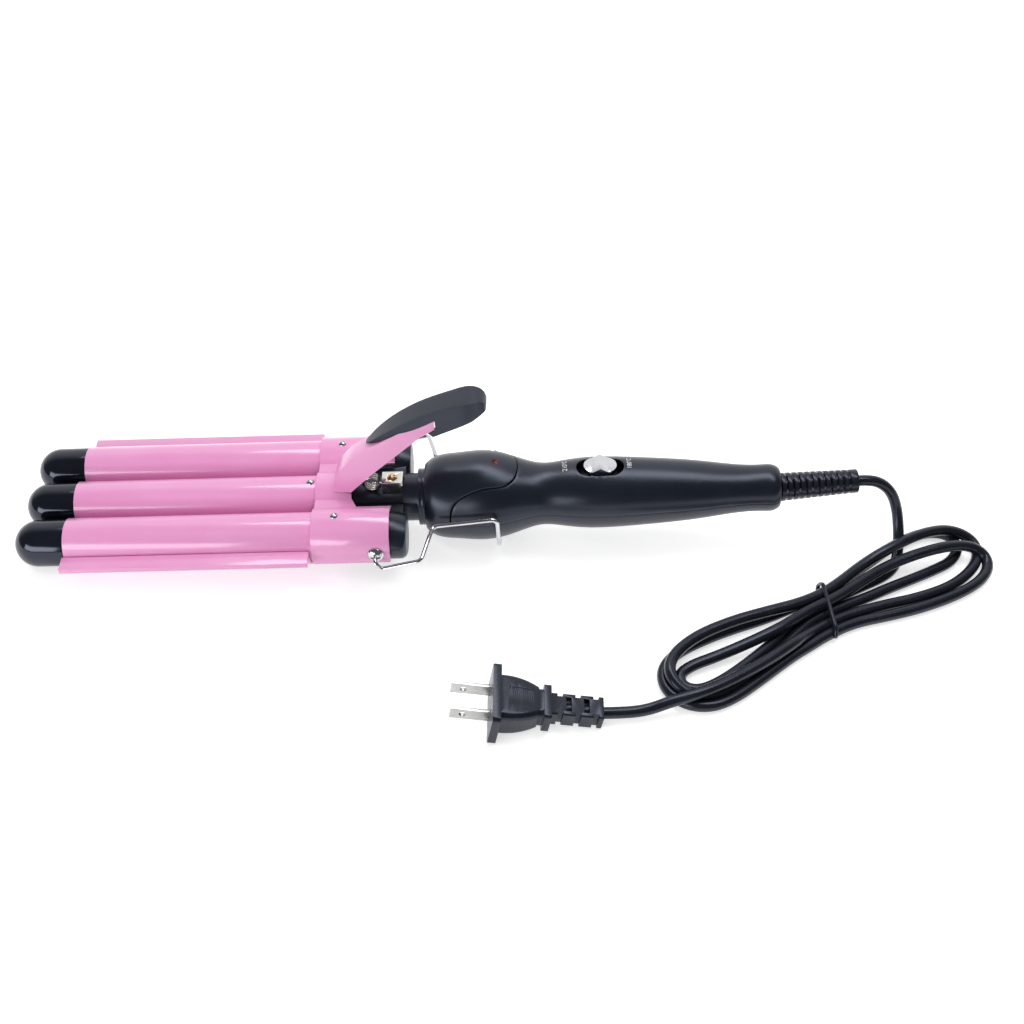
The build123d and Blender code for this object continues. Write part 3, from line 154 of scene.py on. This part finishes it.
# flat loop at the right
INNER_RIGHT_LOOP = [
    (201.3, -21.3, 2.6), (216.1, -8.4, 2.6), (228.8, -0.7, 2.6), (239.5, 1.6, 2.6),
    (246.6, -1.7, 2.6), (247.7, -9.7, 2.6), (242.4, -18.4, 2.6), (232, -24.5, 2.6),
    (220.3, -30.5, 2.6), (209.4, -35.9, 2.6), (197.5, -42.4, 2.6),
]
# loop at the left that lies on the flat one
HIGH_LEFT_LOOP = [
    (162.7, -63.9, 2.6), (156.6, -71.2, 2.6), (147.1, -80.7, 2.6), (136.4, -90.6, 2.6),
    (125.8, -98.5, 2.6), (116.2, -102.3, 2.8), (107, -100.6, 5.2), (101.3, -93.5, 7.8),
    (103.4, -83.1, 7.9), (115.2, -71.5, 7.9), (132.3, -62.4, 7.9), (149.5, -55.9, 7.7),
]
# loop at the right with a long hump over the lead
TALL_RIGHT_LOOP = [
    (198.5, -25.4, 8.2), (212.7, -18, 12.4), (228.4, -8.7, 12), (242.5, -2.5, 8.8),
    (252.8, -3.6, 5.4), (257.3, -9.7, 2.8), (253.1, -21.5, 2.6), (239.8, -34, 2.6),
    (221.7, -41.9, 2.6), (205.5, -46.5, 2.6),
]
# over the left loops to the plug
TAIL_RUN = [
    (164.9, -67.7, 5), (157.8, -75.3, 7.8), (145.3, -85.2, 8), (132.4, -93.8, 8),
    (121.4, -100.4, 8.2), (112, -104.6, 8.2), (101.6, -107.6, 7), (91.6, -110.1, 4.2),
    (82.2, -111.6, 3.9),
]


def through_tie(lane, leftward):
    """Two points that carry a strand through the tie in its lane."""
    across, height = TIE_LANES[lane]
    middle = TIE_AT + TIE_ACROSS * across * MM + Vector((0, 0, height * MM))
    reach = TIE_ALONG * TIE_REACH
    pair = [middle + reach, middle - reach]
    return pair if leftward else pair[::-1]


def cord_route():
    """All control points of the cord's line in metres."""
    route = [Vector(EXIT)]
    for run, lane, leftward in (
        (LEAD_RUN, "b", True), (SMALL_LEFT_LOOP, "f", False), (OUTER_RIGHT_LOOP, "g", True),
        (LOW_LEFT_LOOP, "a", False), (INNER_RIGHT_LOOP, "c", True), (HIGH_LEFT_LOOP, "e", False),
        (TALL_RIGHT_LOOP, "d", True),
    ):
        route += [Vector(point) * MM for point in run]
        route += through_tie(lane, leftward)
    return route + [Vector(point) * MM for point in TAIL_RUN] + [Vector(PLUG_END)]


# the wire tie, sunk from a plain ring onto the strands beside the two upper ones
TIE_RING_AT = Vector((0.1774, -0.052, 0))
UPPER_LANES = (0.0026, 0.0085)  # across the tie, where its wire starts to slope down on each side
NEAR_SLOPE = 0.354
FAR_SLOPE = 0.44
NEAR_DROP = 0.0038          # the most that the near side comes down
TIE_FOOT = 0.001            # below this height the ring stays as it is
TIE_RISE = 0.008            # height over the foot at which it comes down in full


def tie_drop(point):
    """How far the tie's wire comes down at a point of the ring."""
    across = (point - TIE_RING_AT).dot(TIE_ACROSS)
    near = min(NEAR_DROP, NEAR_SLOPE * max(0.0, UPPER_LANES[0] - across))
    far = FAR_SLOPE * max(0.0, across - UPPER_LANES[1])
    return max(near, far) * min(1.0, max(0.0, (point.z - TIE_FOOT) / TIE_RISE))


# ---- sizes and colours that a user would change ----------------------------------------------
def colour(name, text, value):
    """A property that holds a colour."""
    return FloatVectorProperty(
        name=name, description=text, subtype="COLOR", size=3, min=0, max=1, default=value
    )


def length(name, text, value, least=0.0):
    """A property that holds a length in metres."""
    return FloatProperty(name=name, description=text, default=value, min=least, unit="LENGTH")


def power(name, text, value):
    """A property that holds a lamp's power in watts."""
    return FloatProperty(name=name, description=text, default=value, subtype="POWER")


class WaverFinishes(bpy.types.PropertyGroup):
    """Colours of the hair waver's finishes"""

    paint: colour("Paint", "Pink enamel on the barrels, plate and clamp", (0.86, 0.36, 0.65))
    paint_shadow: colour(
        "Paint shade", "Pink enamel's deeper tone where the coat is thick", (0.84, 0.33, 0.62)
    )
    plastic: colour("Plastic", "Satin black of the handle", (0.0060, 0.0085, 0.0140))
    gloss: colour("Gloss plastic", "Black of the nose caps", (0.0040, 0.0050, 0.0085))
    cord: colour("Cord", "Black of the cord, its relief and the plug", (0.0075, 0.0090, 0.0135))
    button: colour("Button", "Silver-white of the slide button", (0.68, 0.69, 0.72))
    lens: colour("Lens", "Red of the indicator lamp", (0.14, 0.004, 0.005))
    marks: colour("Marks", "White print of the temperature marks", (0.82, 0.82, 0.84))


class WaverSizes(bpy.types.PropertyGroup):
    """Sizes of the pieces that are made here"""

    cord_diameter: length("Cord", "Outside diameter of the mains cord", 0.0052, 0.003)
    edge: length("Edge", "Rounding of the handle's moulded edges", 0.00035)
    mark_height: length("Mark height", "Size of the printed temperature marks", 0.0031)


class WaverStage(bpy.types.PropertyGroup):
    """Camera, lamps and floor"""

    lens: FloatProperty(
        name="Lens", description="Focal length of the camera", default=50.1, subtype="DISTANCE_CAMERA"
    )
    top: power("Top lamp", "Power of the lamp above and behind", 4.2)
    key: power("Key lamp", "Power of the small lamp above the barrels", 1.3)
    front: power("Front lamp", "Power of the low lamp in front", 4.8)
    floor: colour("Floor", "Colour of the floor", (0.86, 0.86, 0.86))


# ---- shader helpers --------------------------------------------------------------------------
def new_group(name, inputs, outputs):
    """An empty shader node group; its sockets are pairs of a name and a type."""
    group = bpy.data.node_groups.new(name, "ShaderNodeTree")
    for direction, sockets in (("INPUT", inputs), ("OUTPUT", outputs)):
        for label, kind in sockets:
            group.interface.new_socket(label, in_out=direction, socket_type=kind)
    return group


def add(tree, kind, place=(0, 0), **settings):
    """A node of that kind with its settings."""
    node = tree.nodes.new(kind)
    node.location = place
    for key, value in settings.items():
        setattr(node, key, value)
    return node


def put(node, values):
    """Sets the node's unlinked inputs by name."""
    for label, value in values.items():
        node.inputs[label].default_value = value


def fine_grain_group():
    """Moulded or sprayed grain: a height for the bump and a cloudy mask for colour changes."""
    number = "NodeSocketFloat"
    group = new_group(
        "Fine grain",
        [("Vector", "NodeSocketVector"), ("Grain size", number), ("Cloud size", number),
         ("Grain share", number)],
        [("Height", number), ("Cloud", number)],
    )
    source = add(group, "NodeGroupInput", (-900, 0))
    out = add(group, "NodeGroupOutput", (500, 0))
    grain = add(group, "ShaderNodeTexNoise", (-600, 200))
    put(grain, {"Detail": GRAIN_DETAIL})
    cloud = add(group, "ShaderNodeTexNoise", (-600, -100))
    put(cloud, {"Detail": CLOUD_DETAIL})
    spread = add(group, "ShaderNodeMapRange", (-300, -100))
    put(spread, {"From Min": CLOUD_RANGE[0], "From Max": CLOUD_RANGE[1]})
    mix = add(group, "ShaderNodeMix", (0, 200))
    link = group.links.new
    link(source.outputs["Vector"], grain.inputs["Vector"])
    link(source.outputs["Grain size"], grain.inputs["Scale"])
    link(source.outputs["Vector"], cloud.inputs["Vector"])
    link(source.outputs["Cloud size"], cloud.inputs["Scale"])
    link(cloud.outputs["Fac"], spread.inputs["Value"])
    link(source.outputs["Grain share"], mix.inputs["Factor"])
    link(spread.outputs["Result"], mix.inputs["A"])
    link(grain.outputs["Fac"], mix.inputs["B"])
    link(mix.outputs["Result"], out.inputs["Height"])
    link(spread.outputs["Result"], out.inputs["Cloud"])


def hairline_group():
    """Fine lines along one direction, as on brushed metal."""
    group = new_group(
        "Hairlines",
        [("Vector", "NodeSocketVector"), ("Stretch", "NodeSocketVector")],
        [("Lines", "NodeSocketFloat")],
    )
    source = add(group, "NodeGroupInput", (-700, 0))
    out = add(group, "NodeGroupOutput", (300, 0))
    stretch = add(group, "ShaderNodeVectorMath", (-450, 0), operation="MULTIPLY")
    noise = add(group, "ShaderNodeTexNoise", (-200, 0))
    put(noise, {"Detail": LINE_DETAIL, "Scale": LINE_SIZE})
    link = group.links.new
    link(source.outputs["Vector"], stretch.inputs[0])
    link(source.outputs["Stretch"], stretch.inputs[1])
    link(stretch.outputs["Vector"], noise.inputs["Vector"])
    link(noise.outputs["Fac"], out.inputs["Lines"])


def material(name, settings, tones, rough, grain, bump=0.0, lines=None):
    """A finish: Principled settings, two tones that drift over the surface and a range of roughness.

    The grain is its noise's scale, its clouds' scale and the grain's share in the height.
    """
    mat = bpy.data.materials.new(name)
    mat.use_nodes = True
    tree = mat.node_tree
    shader = tree.nodes["Principled BSDF"]
    put(shader, settings)
    link = tree.links.new
    groups = bpy.data.node_groups
    place = add(tree, "ShaderNodeTexCoord", (-1300, 0))
    grain_node = add(tree, "ShaderNodeGroup", (-1000, 0), node_tree=groups["Fine grain"])
    put(grain_node, dict(zip(("Grain size", "Cloud size", "Grain share"), grain)))
    link(place.outputs["Object"], grain_node.inputs["Vector"])
    tone = add(tree, "ShaderNodeMix", (-500, 250), data_type="RGBA")
    put(tone, {"A": (*tones[0], 1), "B": (*tones[1], 1)})
    link(grain_node.outputs["Cloud"], tone.inputs["Factor"])
    link(tone.outputs["Result"], shader.inputs["Base Color"])
    gloss = add(tree, "ShaderNodeMapRange", (-500, -50))
    put(gloss, {"To Min": rough[0], "To Max": rough[1]})
    height = grain_node.outputs["Height"]
    if lines:
        line_node = add(tree, "ShaderNodeGroup", (-1000, -300), node_tree=groups["Hairlines"])
        put(line_node, {"Stretch": lines})
        link(place.outputs["Object"], line_node.inputs["Vector"])
        height = line_node.outputs["Lines"]
    link(height, gloss.inputs["Value"])
    link(gloss.outputs["Result"], shader.inputs["Roughness"])
    if bump:
        relief = add(tree, "ShaderNodeBump", (-300, -300))
        put(relief, {"Strength": 1.0, "Distance": bump})
        link(height, relief.inputs["Height"])
        link(relief.outputs["Normal"], shader.inputs["Normal"])


def shade(tone, factor):
    """The tone, lighter or darker by the factor."""
    return tuple(min(1.0, part * factor) for part in tone)


def make_finishes():
    """Makes all of the waver's finishes."""
    look = bpy.context.scene.waver_finishes
    fine_grain_group()
    hairline_group()
    material(
        "Pink enamel", {"Coat Weight": 0.6, "Coat Roughness": 0.08, "Specular IOR Level": 0.6},
        (look.paint, look.paint_shadow), rough=(0.26, 0.32), grain=(3800.0, 35.0, 0.7), bump=1.5e-6,
    )
    material(
        "Black gloss", {"Specular IOR Level": 0.62, "Specular Tint": BLUE_SHEEN},
        (look.gloss, shade(look.gloss, 1.5)), rough=(0.10, 0.15), grain=(3000.0, 50.0, 0.5), bump=1e-6,
    )
    material(
        "Satin black", {"Specular IOR Level": 0.58, "Specular Tint": BLUE_SHEEN},
        (look.plastic, shade(look.plastic, 1.4)),
        rough=(0.27, 0.34), grain=(5200.0, 45.0, 0.8), bump=7e-6,
    )
    material(
        "Cord black", {"Specular IOR Level": 0.48, "Specular Tint": BLUE_SHEEN},
        (look.cord, shade(look.cord, 1.5)), rough=(0.24, 0.30), grain=(2600.0, 90.0, 0.6), bump=1.5e-6,
    )
    material(
        "Bright chrome", METAL, ((0.66, 0.67, 0.70), (0.56, 0.57, 0.60)),
        rough=(0.08, 0.14), grain=(1800.0, 120.0, 0.5),
    )
    for name, tones in (
        ("Nickel plate", ((0.72, 0.70, 0.66), (0.60, 0.58, 0.54))),
        ("Brass plate", ((0.80, 0.62, 0.33), (0.66, 0.50, 0.25))),
    ):
        material(name, METAL, tones, rough=(0.20, 0.32), grain=(1500.0, 150.0, 0.5), bump=2e-6)
    material(
        "Blade nickel", METAL, ((0.50, 0.50, 0.49), (0.43, 0.43, 0.42)),
        rough=(0.22, 0.34), grain=(900.0, 80.0, 0.5), bump=2e-6, lines=(0.15, 1.0, 1.0),
    )
    material(
        "Bare aluminium", METAL, ((0.75, 0.75, 0.76), (0.66, 0.66, 0.67)),
        rough=(0.30, 0.42), grain=(900.0, 80.0, 0.5), bump=2e-6, lines=(0.1, 1.0, 1.0),
    )
    material(
        "Silver button", METAL, (look.button, shade(look.button, 0.9)),
        rough=(0.12, 0.20), grain=(4200.0, 90.0, 0.7), bump=1e-6,
    )
    material(
        "Red lens", {"Specular IOR Level": 0.35}, (look.lens, shade(look.lens, 0.6)),
        rough=(0.10, 0.14), grain=(900.0, 200.0, 0.3),
    )
    material(
        "Heater ceramic", {}, ((0.84, 0.82, 0.76), (0.78, 0.75, 0.68)),
        rough=(0.4, 0.55), grain=(2500.0, 90.0, 0.6), bump=3e-6,
    )
    material(
        "Board green", {}, ((0.03, 0.16, 0.07), (0.04, 0.20, 0.09)),
        rough=(0.3, 0.42), grain=(1800.0, 120.0, 0.6), bump=3e-6,
    )
    material(
        "White print", {}, (look.marks, shade(look.marks, 0.92)),
        rough=(0.45, 0.55), grain=(3000.0, 90.0, 0.6),
    )


NODE_FINISHES = {
    "Pink enamel": ["front_barrel", "middle_barrel", "rear_barrel", "wave_plate", "clamp_bracket"],
    "Black gloss": ["front_nose", "middle_nose", "rear_nose"],
    "Satin black": [
        "thumb_rest", "barrel_base", "head_cover", "handle_top", "handle_bottom", "switch_bezel",
        "switch_body", "front_root_plug", "rear_root_plug", "cord_clamp",
    ],
    "Bright chrome": ["stand_wire", "hinge_screws", "collar_screws", "middle_root_screw"],
    "Nickel plate": [
        "clamp_spring", "spring_clip", "thumb_rest_rivet", "wave_plate_screws", "handle_screws",
        "cord_clamp_screws",
    ],
    "Brass plate": ["spring_clip_screw"],
    "Bare aluminium": ["front_heater_shoes", "middle_heater_shoes", "rear_heater_shoes"],
    "Heater ceramic": [
        "front_ceramic_heater", "middle_ceramic_heater", "rear_ceramic_heater", "thermal_fuse",
    ],
    "Board green": ["circuit_board"],
    "Silver button": ["switch_button"],
    "Red lens": ["power_lamp"],
    "Cord black": ["strain_relief", "inner_cord", "heater_leads", "cord_tie", "plug_body"],
    "Blade nickel": ["plug_blades"],
}
finish_of = {node: finish for finish, nodes in NODE_FINISHES.items() for node in nodes}


# ---- mesh helpers ----------------------------------------------------------------------------
def only(piece):
    """Selects the piece alone and makes it active."""
    bpy.ops.object.select_all(action="DESELECT")
    piece.select_set(True)
    bpy.context.view_layer.objects.active = piece


def apply_all(piece):
    """Applies the piece's modifiers."""
    only(piece)
    for modifier in list(piece.modifiers):
        bpy.ops.object.modifier_apply(modifier=modifier.name)


def dress(node, edge=0.0, segments=PLAIN_SEGMENTS, angle=EDGE_ANGLE, keep_faces=False):
    """A merged copy of a frame node, with its edges rounded, that stands for the node.

    Bent wires and the thumb rest keep all their faces, because joining flat ones spoils their curves.
    """
    piece = bpy.data.objects.new(node + ".form", frame["nodes"][node].data.copy())
    bpy.context.collection.objects.link(piece)
    only(piece)
    bpy.ops.object.mode_set(mode="EDIT")
    bpy.ops.mesh.select_all(action="SELECT")
    bpy.ops.mesh.remove_doubles(threshold=MERGE)
    if not keep_faces:
        bpy.ops.mesh.dissolve_limited(angle_limit=FLAT_ANGLE)
    bpy.ops.object.mode_set(mode="OBJECT")
    if edge:
        rounding = piece.modifiers.new("Edge", "BEVEL")
        rounding.width = edge
        rounding.segments = segments
        rounding.limit_method = "ANGLE"
        rounding.angle_limit = angle
        rounding.use_clamp_overlap = True
        apply_all(piece)
    bpy.ops.object.shade_smooth_by_angle(angle=angle)
    piece.data.materials.clear()
    piece.data.materials.append(bpy.data.materials[finish_of[node]])
    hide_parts(node)
    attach(piece, node_bodies[node])
    return piece


def keep(node):
    """Gives a frame node its finish and leaves its form."""
    shape = frame["nodes"][node]
    if not shape.material_slots:
        raise RuntimeError(node + " has no material slot")
    for slot in shape.material_slots:
        slot.link = "OBJECT"
        slot.material = bpy.data.materials[finish_of[node]]


# ---- operators -------------------------------------------------------------------------------
class WAVER_OT_finishes(bpy.types.Operator):
    """Makes the finishes"""

    bl_idname = "waver.finishes"
    bl_label = "Finishes"

    def execute(self, context):
        make_finishes()
        return {"FINISHED"}


class WAVER_OT_cord(bpy.types.Operator):
    """Lays the mains cord from the handle through its tied loops to the plug"""

    bl_idname = "waver.cord"
    bl_label = "Cord"

    def execute(self, context):
        sizes = context.scene.waver_sizes
        line = bpy.data.curves.new("mains_cord", "CURVE")
        line.dimensions = "3D"
        spline = line.splines.new("NURBS")
        points = cord_route()
        spline.points.add(len(points) - 1)
        for target, point in zip(spline.points, points):
            target.co = (*point, 1)
        spline.order_u = 3
        spline.use_endpoint_u = True
        spline.resolution_u = CORD_STEPS
        line.bevel_depth = sizes.cord_diameter / 2
        line.bevel_resolution = CORD_ROUNDNESS
        line.use_fill_caps = True
        cord = bpy.data.objects.new("mains_cord", line)
        context.collection.objects.link(cord)
        line.materials.append(bpy.data.materials["Cord black"])
        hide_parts("cord_lead", "cord_hank", "cord_tail")
        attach(cord, "handle")
        return {"FINISHED"}


class WAVER_OT_plug(bpy.types.Operator):
    """Finishes the plug, its blades and the wire tie"""

    bl_idname = "waver.plug"
    bl_label = "Plug and tie"

    def execute(self, context):
        dress("plug_body", GRIP_EDGE, angle=GRIP_ANGLE)
        dress("plug_blades", GRIP_EDGE)
        tie = dress("cord_tie", keep_faces=True)
        for vertex in tie.data.vertices:
            vertex.co.z -= tie_drop(vertex.co)
        return {"FINISHED"}


class WAVER_OT_barrels(bpy.types.Operator):
    """Finishes the barrels and their nose caps"""

    bl_idname = "waver.barrels"
    bl_label = "Barrels"

    def execute(self, context):
        for place in ("front", "middle", "rear"):
            dress(place + "_barrel", THIN_EDGE)
            dress(place + "_nose", THIN_EDGE)
        return {"FINISHED"}


class WAVER_OT_plate(bpy.types.Operator):
    """Finishes the wave plate and its screws"""

    bl_idname = "waver.plate"
    bl_label = "Wave plate"

    def execute(self, context):
        dress("wave_plate", THIN_EDGE)
        dress("wave_plate_screws", FINE_EDGE)
        return {"FINISHED"}


class WAVER_OT_clamp(bpy.types.Operator):
    """Finishes the clamp bracket, its thumb rest and their screws"""

    bl_idname = "waver.clamp"
    bl_label = "Clamp"

    def execute(self, context):
        dress("clamp_bracket", FORMED_EDGE)
        dress("thumb_rest", SOFT_EDGE, SOFT_SEGMENTS, keep_faces=True)
        dress("thumb_rest_rivet")
        dress("collar_screws", FINE_EDGE)
        dress("middle_root_screw", FINE_EDGE)
        return {"FINISHED"}


class WAVER_OT_base(bpy.types.Operator):
    """Finishes the barrel base, hinge screws, spring and spring clip"""

    bl_idname = "waver.base"
    bl_label = "Base and spring"

    def execute(self, context):
        dress("barrel_base", BASE_EDGE)
        dress("hinge_screws", THIN_EDGE)
        dress("clamp_spring", keep_faces=True)
        dress("spring_clip", FINE_EDGE)
        dress("spring_clip_screw", FINE_EDGE)
        return {"FINISHED"}


class WAVER_OT_stand(bpy.types.Operator):
    """Finishes the wire stand"""

    bl_idname = "waver.stand"
    bl_label = "Wire stand"

    def execute(self, context):
        dress("stand_wire", keep_faces=True)
        return {"FINISHED"}


class WAVER_OT_handle(bpy.types.Operator):
    """Finishes the handle's shells, head cover, screws and strain relief"""

    bl_idname = "waver.handle"
    bl_label = "Handle"

    def execute(self, context):
        edge = context.scene.waver_sizes.edge
        dress("handle_top", edge)
        dress("handle_bottom", edge)
        dress("head_cover", SOFT_EDGE, SOFT_SEGMENTS)
        dress("handle_screws", FINE_EDGE)
        dress("strain_relief", edge)
        return {"FINISHED"}


class WAVER_OT_controls(bpy.types.Operator):
    """Finishes the switch and the lamp"""

    bl_idname = "waver.controls"
    bl_label = "Switch and lamp"

    def execute(self, context):
        dress("switch_bezel", FINE_EDGE)
        button = dress("switch_button", FORMED_EDGE)
        # painted shade and dark reflection: the silver button's front and back sides take satin black,
        # standing in for the shade on its gable
        button.data.materials.append(bpy.data.materials["Satin black"])
        for face in button.data.polygons:
            if abs(face.normal.y) > SHADED_SIDE_FACING:
                face.material_index = 1
        dress("power_lamp")
        return {"FINISHED"}


class WAVER_OT_marks(bpy.types.Operator):
    """Prints the two temperature marks beside the switch"""

    bl_idname = "waver.marks"
    bl_label = "Temperature marks"

    def execute(self, context):
        for text, x in MARKS:
            bpy.ops.object.select_all(action="DESELECT")
            bpy.ops.object.text_add()
            mark = context.object
            mark.name = "mark_" + text[:3]
            mark.data.body = text
            mark.data.size = context.scene.waver_sizes.mark_height
            mark.data.align_x = "CENTER"
            mark.data.align_y = "CENTER"
            bpy.ops.object.convert(target="MESH")
            bpy.ops.object.mode_set(mode="EDIT")
            bpy.ops.mesh.select_all(action="SELECT")
            bpy.ops.mesh.quads_convert_to_tris()
            bpy.ops.mesh.subdivide(number_cuts=MARK_CUTS)
            bpy.ops.object.mode_set(mode="OBJECT")
            mark.rotation_euler = (0, 0, MARK_TURN)
            mark.location = (x, MARK_Y, MARK_Z)
            bpy.ops.object.transform_apply(location=True, rotation=True, scale=True)
            lay = mark.modifiers.new("Lay", "SHRINKWRAP")
            lay.target = bpy.data.objects["handle_top.form"]
            lay.wrap_method = "PROJECT"
            lay.use_project_z = True
            lay.use_positive_direction = False
            lay.use_negative_direction = True
            lay.offset = MARK_LIFT
            apply_all(mark)
            if max(vertex.co.z for vertex in mark.data.vertices) > MARK_Z - MM:
                raise RuntimeError(mark.name + " misses the handle")
            mark.data.materials.append(bpy.data.materials["White print"])
            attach(mark, "handle")
        return {"FINISHED"}


class WAVER_OT_inside(bpy.types.Operator):
    """Gives the parts inside their finishes"""

    bl_idname = "waver.inside"
    bl_label = "Inside parts"

    def execute(self, context):
        for node in (
            "circuit_board", "thermal_fuse", "switch_body", "heater_leads", "inner_cord", "cord_clamp",
            "cord_clamp_screws", "front_root_plug", "rear_root_plug",
        ):
            keep(node)
        for place in ("front", "middle", "rear"):
            keep(place + "_heater_shoes")
            keep(place + "_ceramic_heater")
        return {"FINISHED"}


class WAVER_OT_stage(bpy.types.Operator):
    """Sets the floor, the background, the lamps and the camera"""

    bl_idname = "waver.stage"
    bl_label = "Stage"

    def execute(self, context):
        stage = context.scene.waver_stage
        scene = context.scene
        scene.view_settings.view_transform = "Standard"
        camera_data = bpy.data.cameras.new("camera")
        camera_data.lens = stage.lens
        camera_data.sensor_width = CAMERA_SENSOR
        camera = bpy.data.objects.new("camera", camera_data)
        camera.location = CAMERA_AT
        camera.rotation_euler = [radians(turn) for turn in CAMERA_TURN]
        context.collection.objects.link(camera)
        scene.camera = camera
        self.floor(stage)
        self.world(scene)
        for name in LAMPS:
            self.lamp(name, getattr(stage, name))
        return {"FINISHED"}

    def floor(self, stage):
        """A matt floor that looks nearly white to the camera and in mirrors."""
        bpy.ops.object.select_all(action="DESELECT")
        bpy.ops.mesh.primitive_plane_add(size=FLOOR_SIZE, location=(0, 0, FLOOR_Z))
        floor = bpy.context.object
        floor.name = "floor"
        bpy.ops.object.transform_apply(location=True, rotation=True, scale=True)
        mat = bpy.data.materials.new("Floor white")
        mat.use_nodes = True
        tree = mat.node_tree
        shader = tree.nodes["Principled BSDF"]
        put(shader, {
            "Base Color": (*stage.floor, 1), "Roughness": FLOOR_ROUGHNESS, "Specular IOR Level": 0.0,
            "Emission Color": (1, 1, 1, 1),
        })
        path = add(tree, "ShaderNodeLightPath", (-900, 0))
        seen = add(tree, "ShaderNodeMath", (-600, 0), operation="MAXIMUM")
        seen_all = add(tree, "ShaderNodeMath", (-400, 0), operation="MAXIMUM")
        strength = add(tree, "ShaderNodeMath", (-200, 0), operation="MULTIPLY")
        strength.inputs[1].default_value = FLOOR_GLOW
        link = tree.links.new
        link(path.outputs["Is Camera Ray"], seen.inputs[0])
        link(path.outputs["Is Glossy Ray"], seen.inputs[1])
        link(seen.outputs[0], seen_all.inputs[0])
        link(path.outputs["Is Transmission Ray"], seen_all.inputs[1])
        link(seen_all.outputs[0], strength.inputs[0])
        link(strength.outputs[0], shader.inputs["Emission Strength"])
        floor.data.materials.append(mat)

    def world(self, scene):
        """A room with its bright side behind the object, and white to the camera."""
        world = bpy.data.worlds.new("studio")
        scene.world = world
        world.use_nodes = True
        tree = world.node_tree
        background = tree.nodes["Background"]
        put(background, {"Color": (1, 1, 1, 1)})
        place = add(tree, "ShaderNodeTexCoord", (-900, -200))
        split = add(tree, "ShaderNodeSeparateXYZ", (-700, -200))
        backdrop = add(tree, "ShaderNodeMapRange", (-500, -200), interpolation_type="SMOOTHSTEP")
        put(backdrop, {
            "From Min": ROOM_RANGE[0], "From Max": ROOM_RANGE[1], "To Min": ROOM_DARK,
            "To Max": ROOM_BRIGHT,
        })
        path = add(tree, "ShaderNodeLightPath", (-500, 200))
        strength = add(tree, "ShaderNodeMix", (-200, 0))
        put(strength, {"B": 1.0})
        link = tree.links.new
        link(place.outputs["Generated"], split.inputs["Vector"])
        link(split.outputs["Y"], backdrop.inputs["Value"])
        link(backdrop.outputs["Result"], strength.inputs["A"])
        link(path.outputs["Is Camera Ray"], strength.inputs["Factor"])
        link(strength.outputs["Result"], background.inputs["Strength"])

    def lamp(self, name, watts):
        """One of the rectangular lamps."""
        at, towards, width, height, mirrored = LAMPS[name]
        data = bpy.data.lights.new(name, "AREA")
        data.shape = "RECTANGLE"
        data.size = width
        data.size_y = height
        data.energy = watts
        lamp = bpy.data.objects.new(name, data)
        lamp.location = at
        lamp.rotation_euler = (Vector(at) - Vector(towards)).to_track_quat("Z", "Y").to_euler()
        lamp.visible_glossy = mirrored
        bpy.context.collection.objects.link(lamp)


PIECES = [
    WAVER_OT_finishes, WAVER_OT_stage, WAVER_OT_plug, WAVER_OT_cord, WAVER_OT_barrels, WAVER_OT_plate,
    WAVER_OT_clamp, WAVER_OT_base, WAVER_OT_stand, WAVER_OT_handle, WAVER_OT_controls, WAVER_OT_marks,
    WAVER_OT_inside,
]
GROUPS = [("waver_finishes", WaverFinishes), ("waver_sizes", WaverSizes), ("waver_stage", WaverStage)]


class WAVER_PT_sidebar(bpy.types.Panel):
    """Lists the hair waver's sizes, colours and pieces"""

    bl_label = "Hair waver"
    bl_idname = "WAVER_PT_sidebar"
    bl_space_type = "VIEW_3D"
    bl_region_type = "UI"
    bl_category = "Hair waver"

    def draw(self, context):
        for name, kind in GROUPS:
            box = self.layout.box()
            for label in kind.__annotations__:
                box.prop(getattr(context.scene, name), label)
        for piece in PIECES:
            self.layout.operator(piece.bl_idname)


def register():
    """Registers the groups of sizes and colours, the operators and the panel."""
    for _, kind in GROUPS:
        bpy.utils.register_class(kind)
    for name, kind in GROUPS:
        setattr(bpy.types.Scene, name, PointerProperty(type=kind))
    for kind in PIECES + [WAVER_PT_sidebar]:
        bpy.utils.register_class(kind)


def unregister():
    """Takes back what register did."""
    for kind in reversed(PIECES + [WAVER_PT_sidebar]):
        bpy.utils.unregister_class(kind)
    for name, _ in GROUPS:
        delattr(bpy.types.Scene, name)
    for _, kind in reversed(GROUPS):
        bpy.utils.unregister_class(kind)


def main():
    """Builds every piece."""
    register()
    for piece in PIECES:
        group, name = piece.bl_idname.split(".")
        getattr(getattr(bpy.ops, group), name)()


if __name__ == "__main__":
    main()
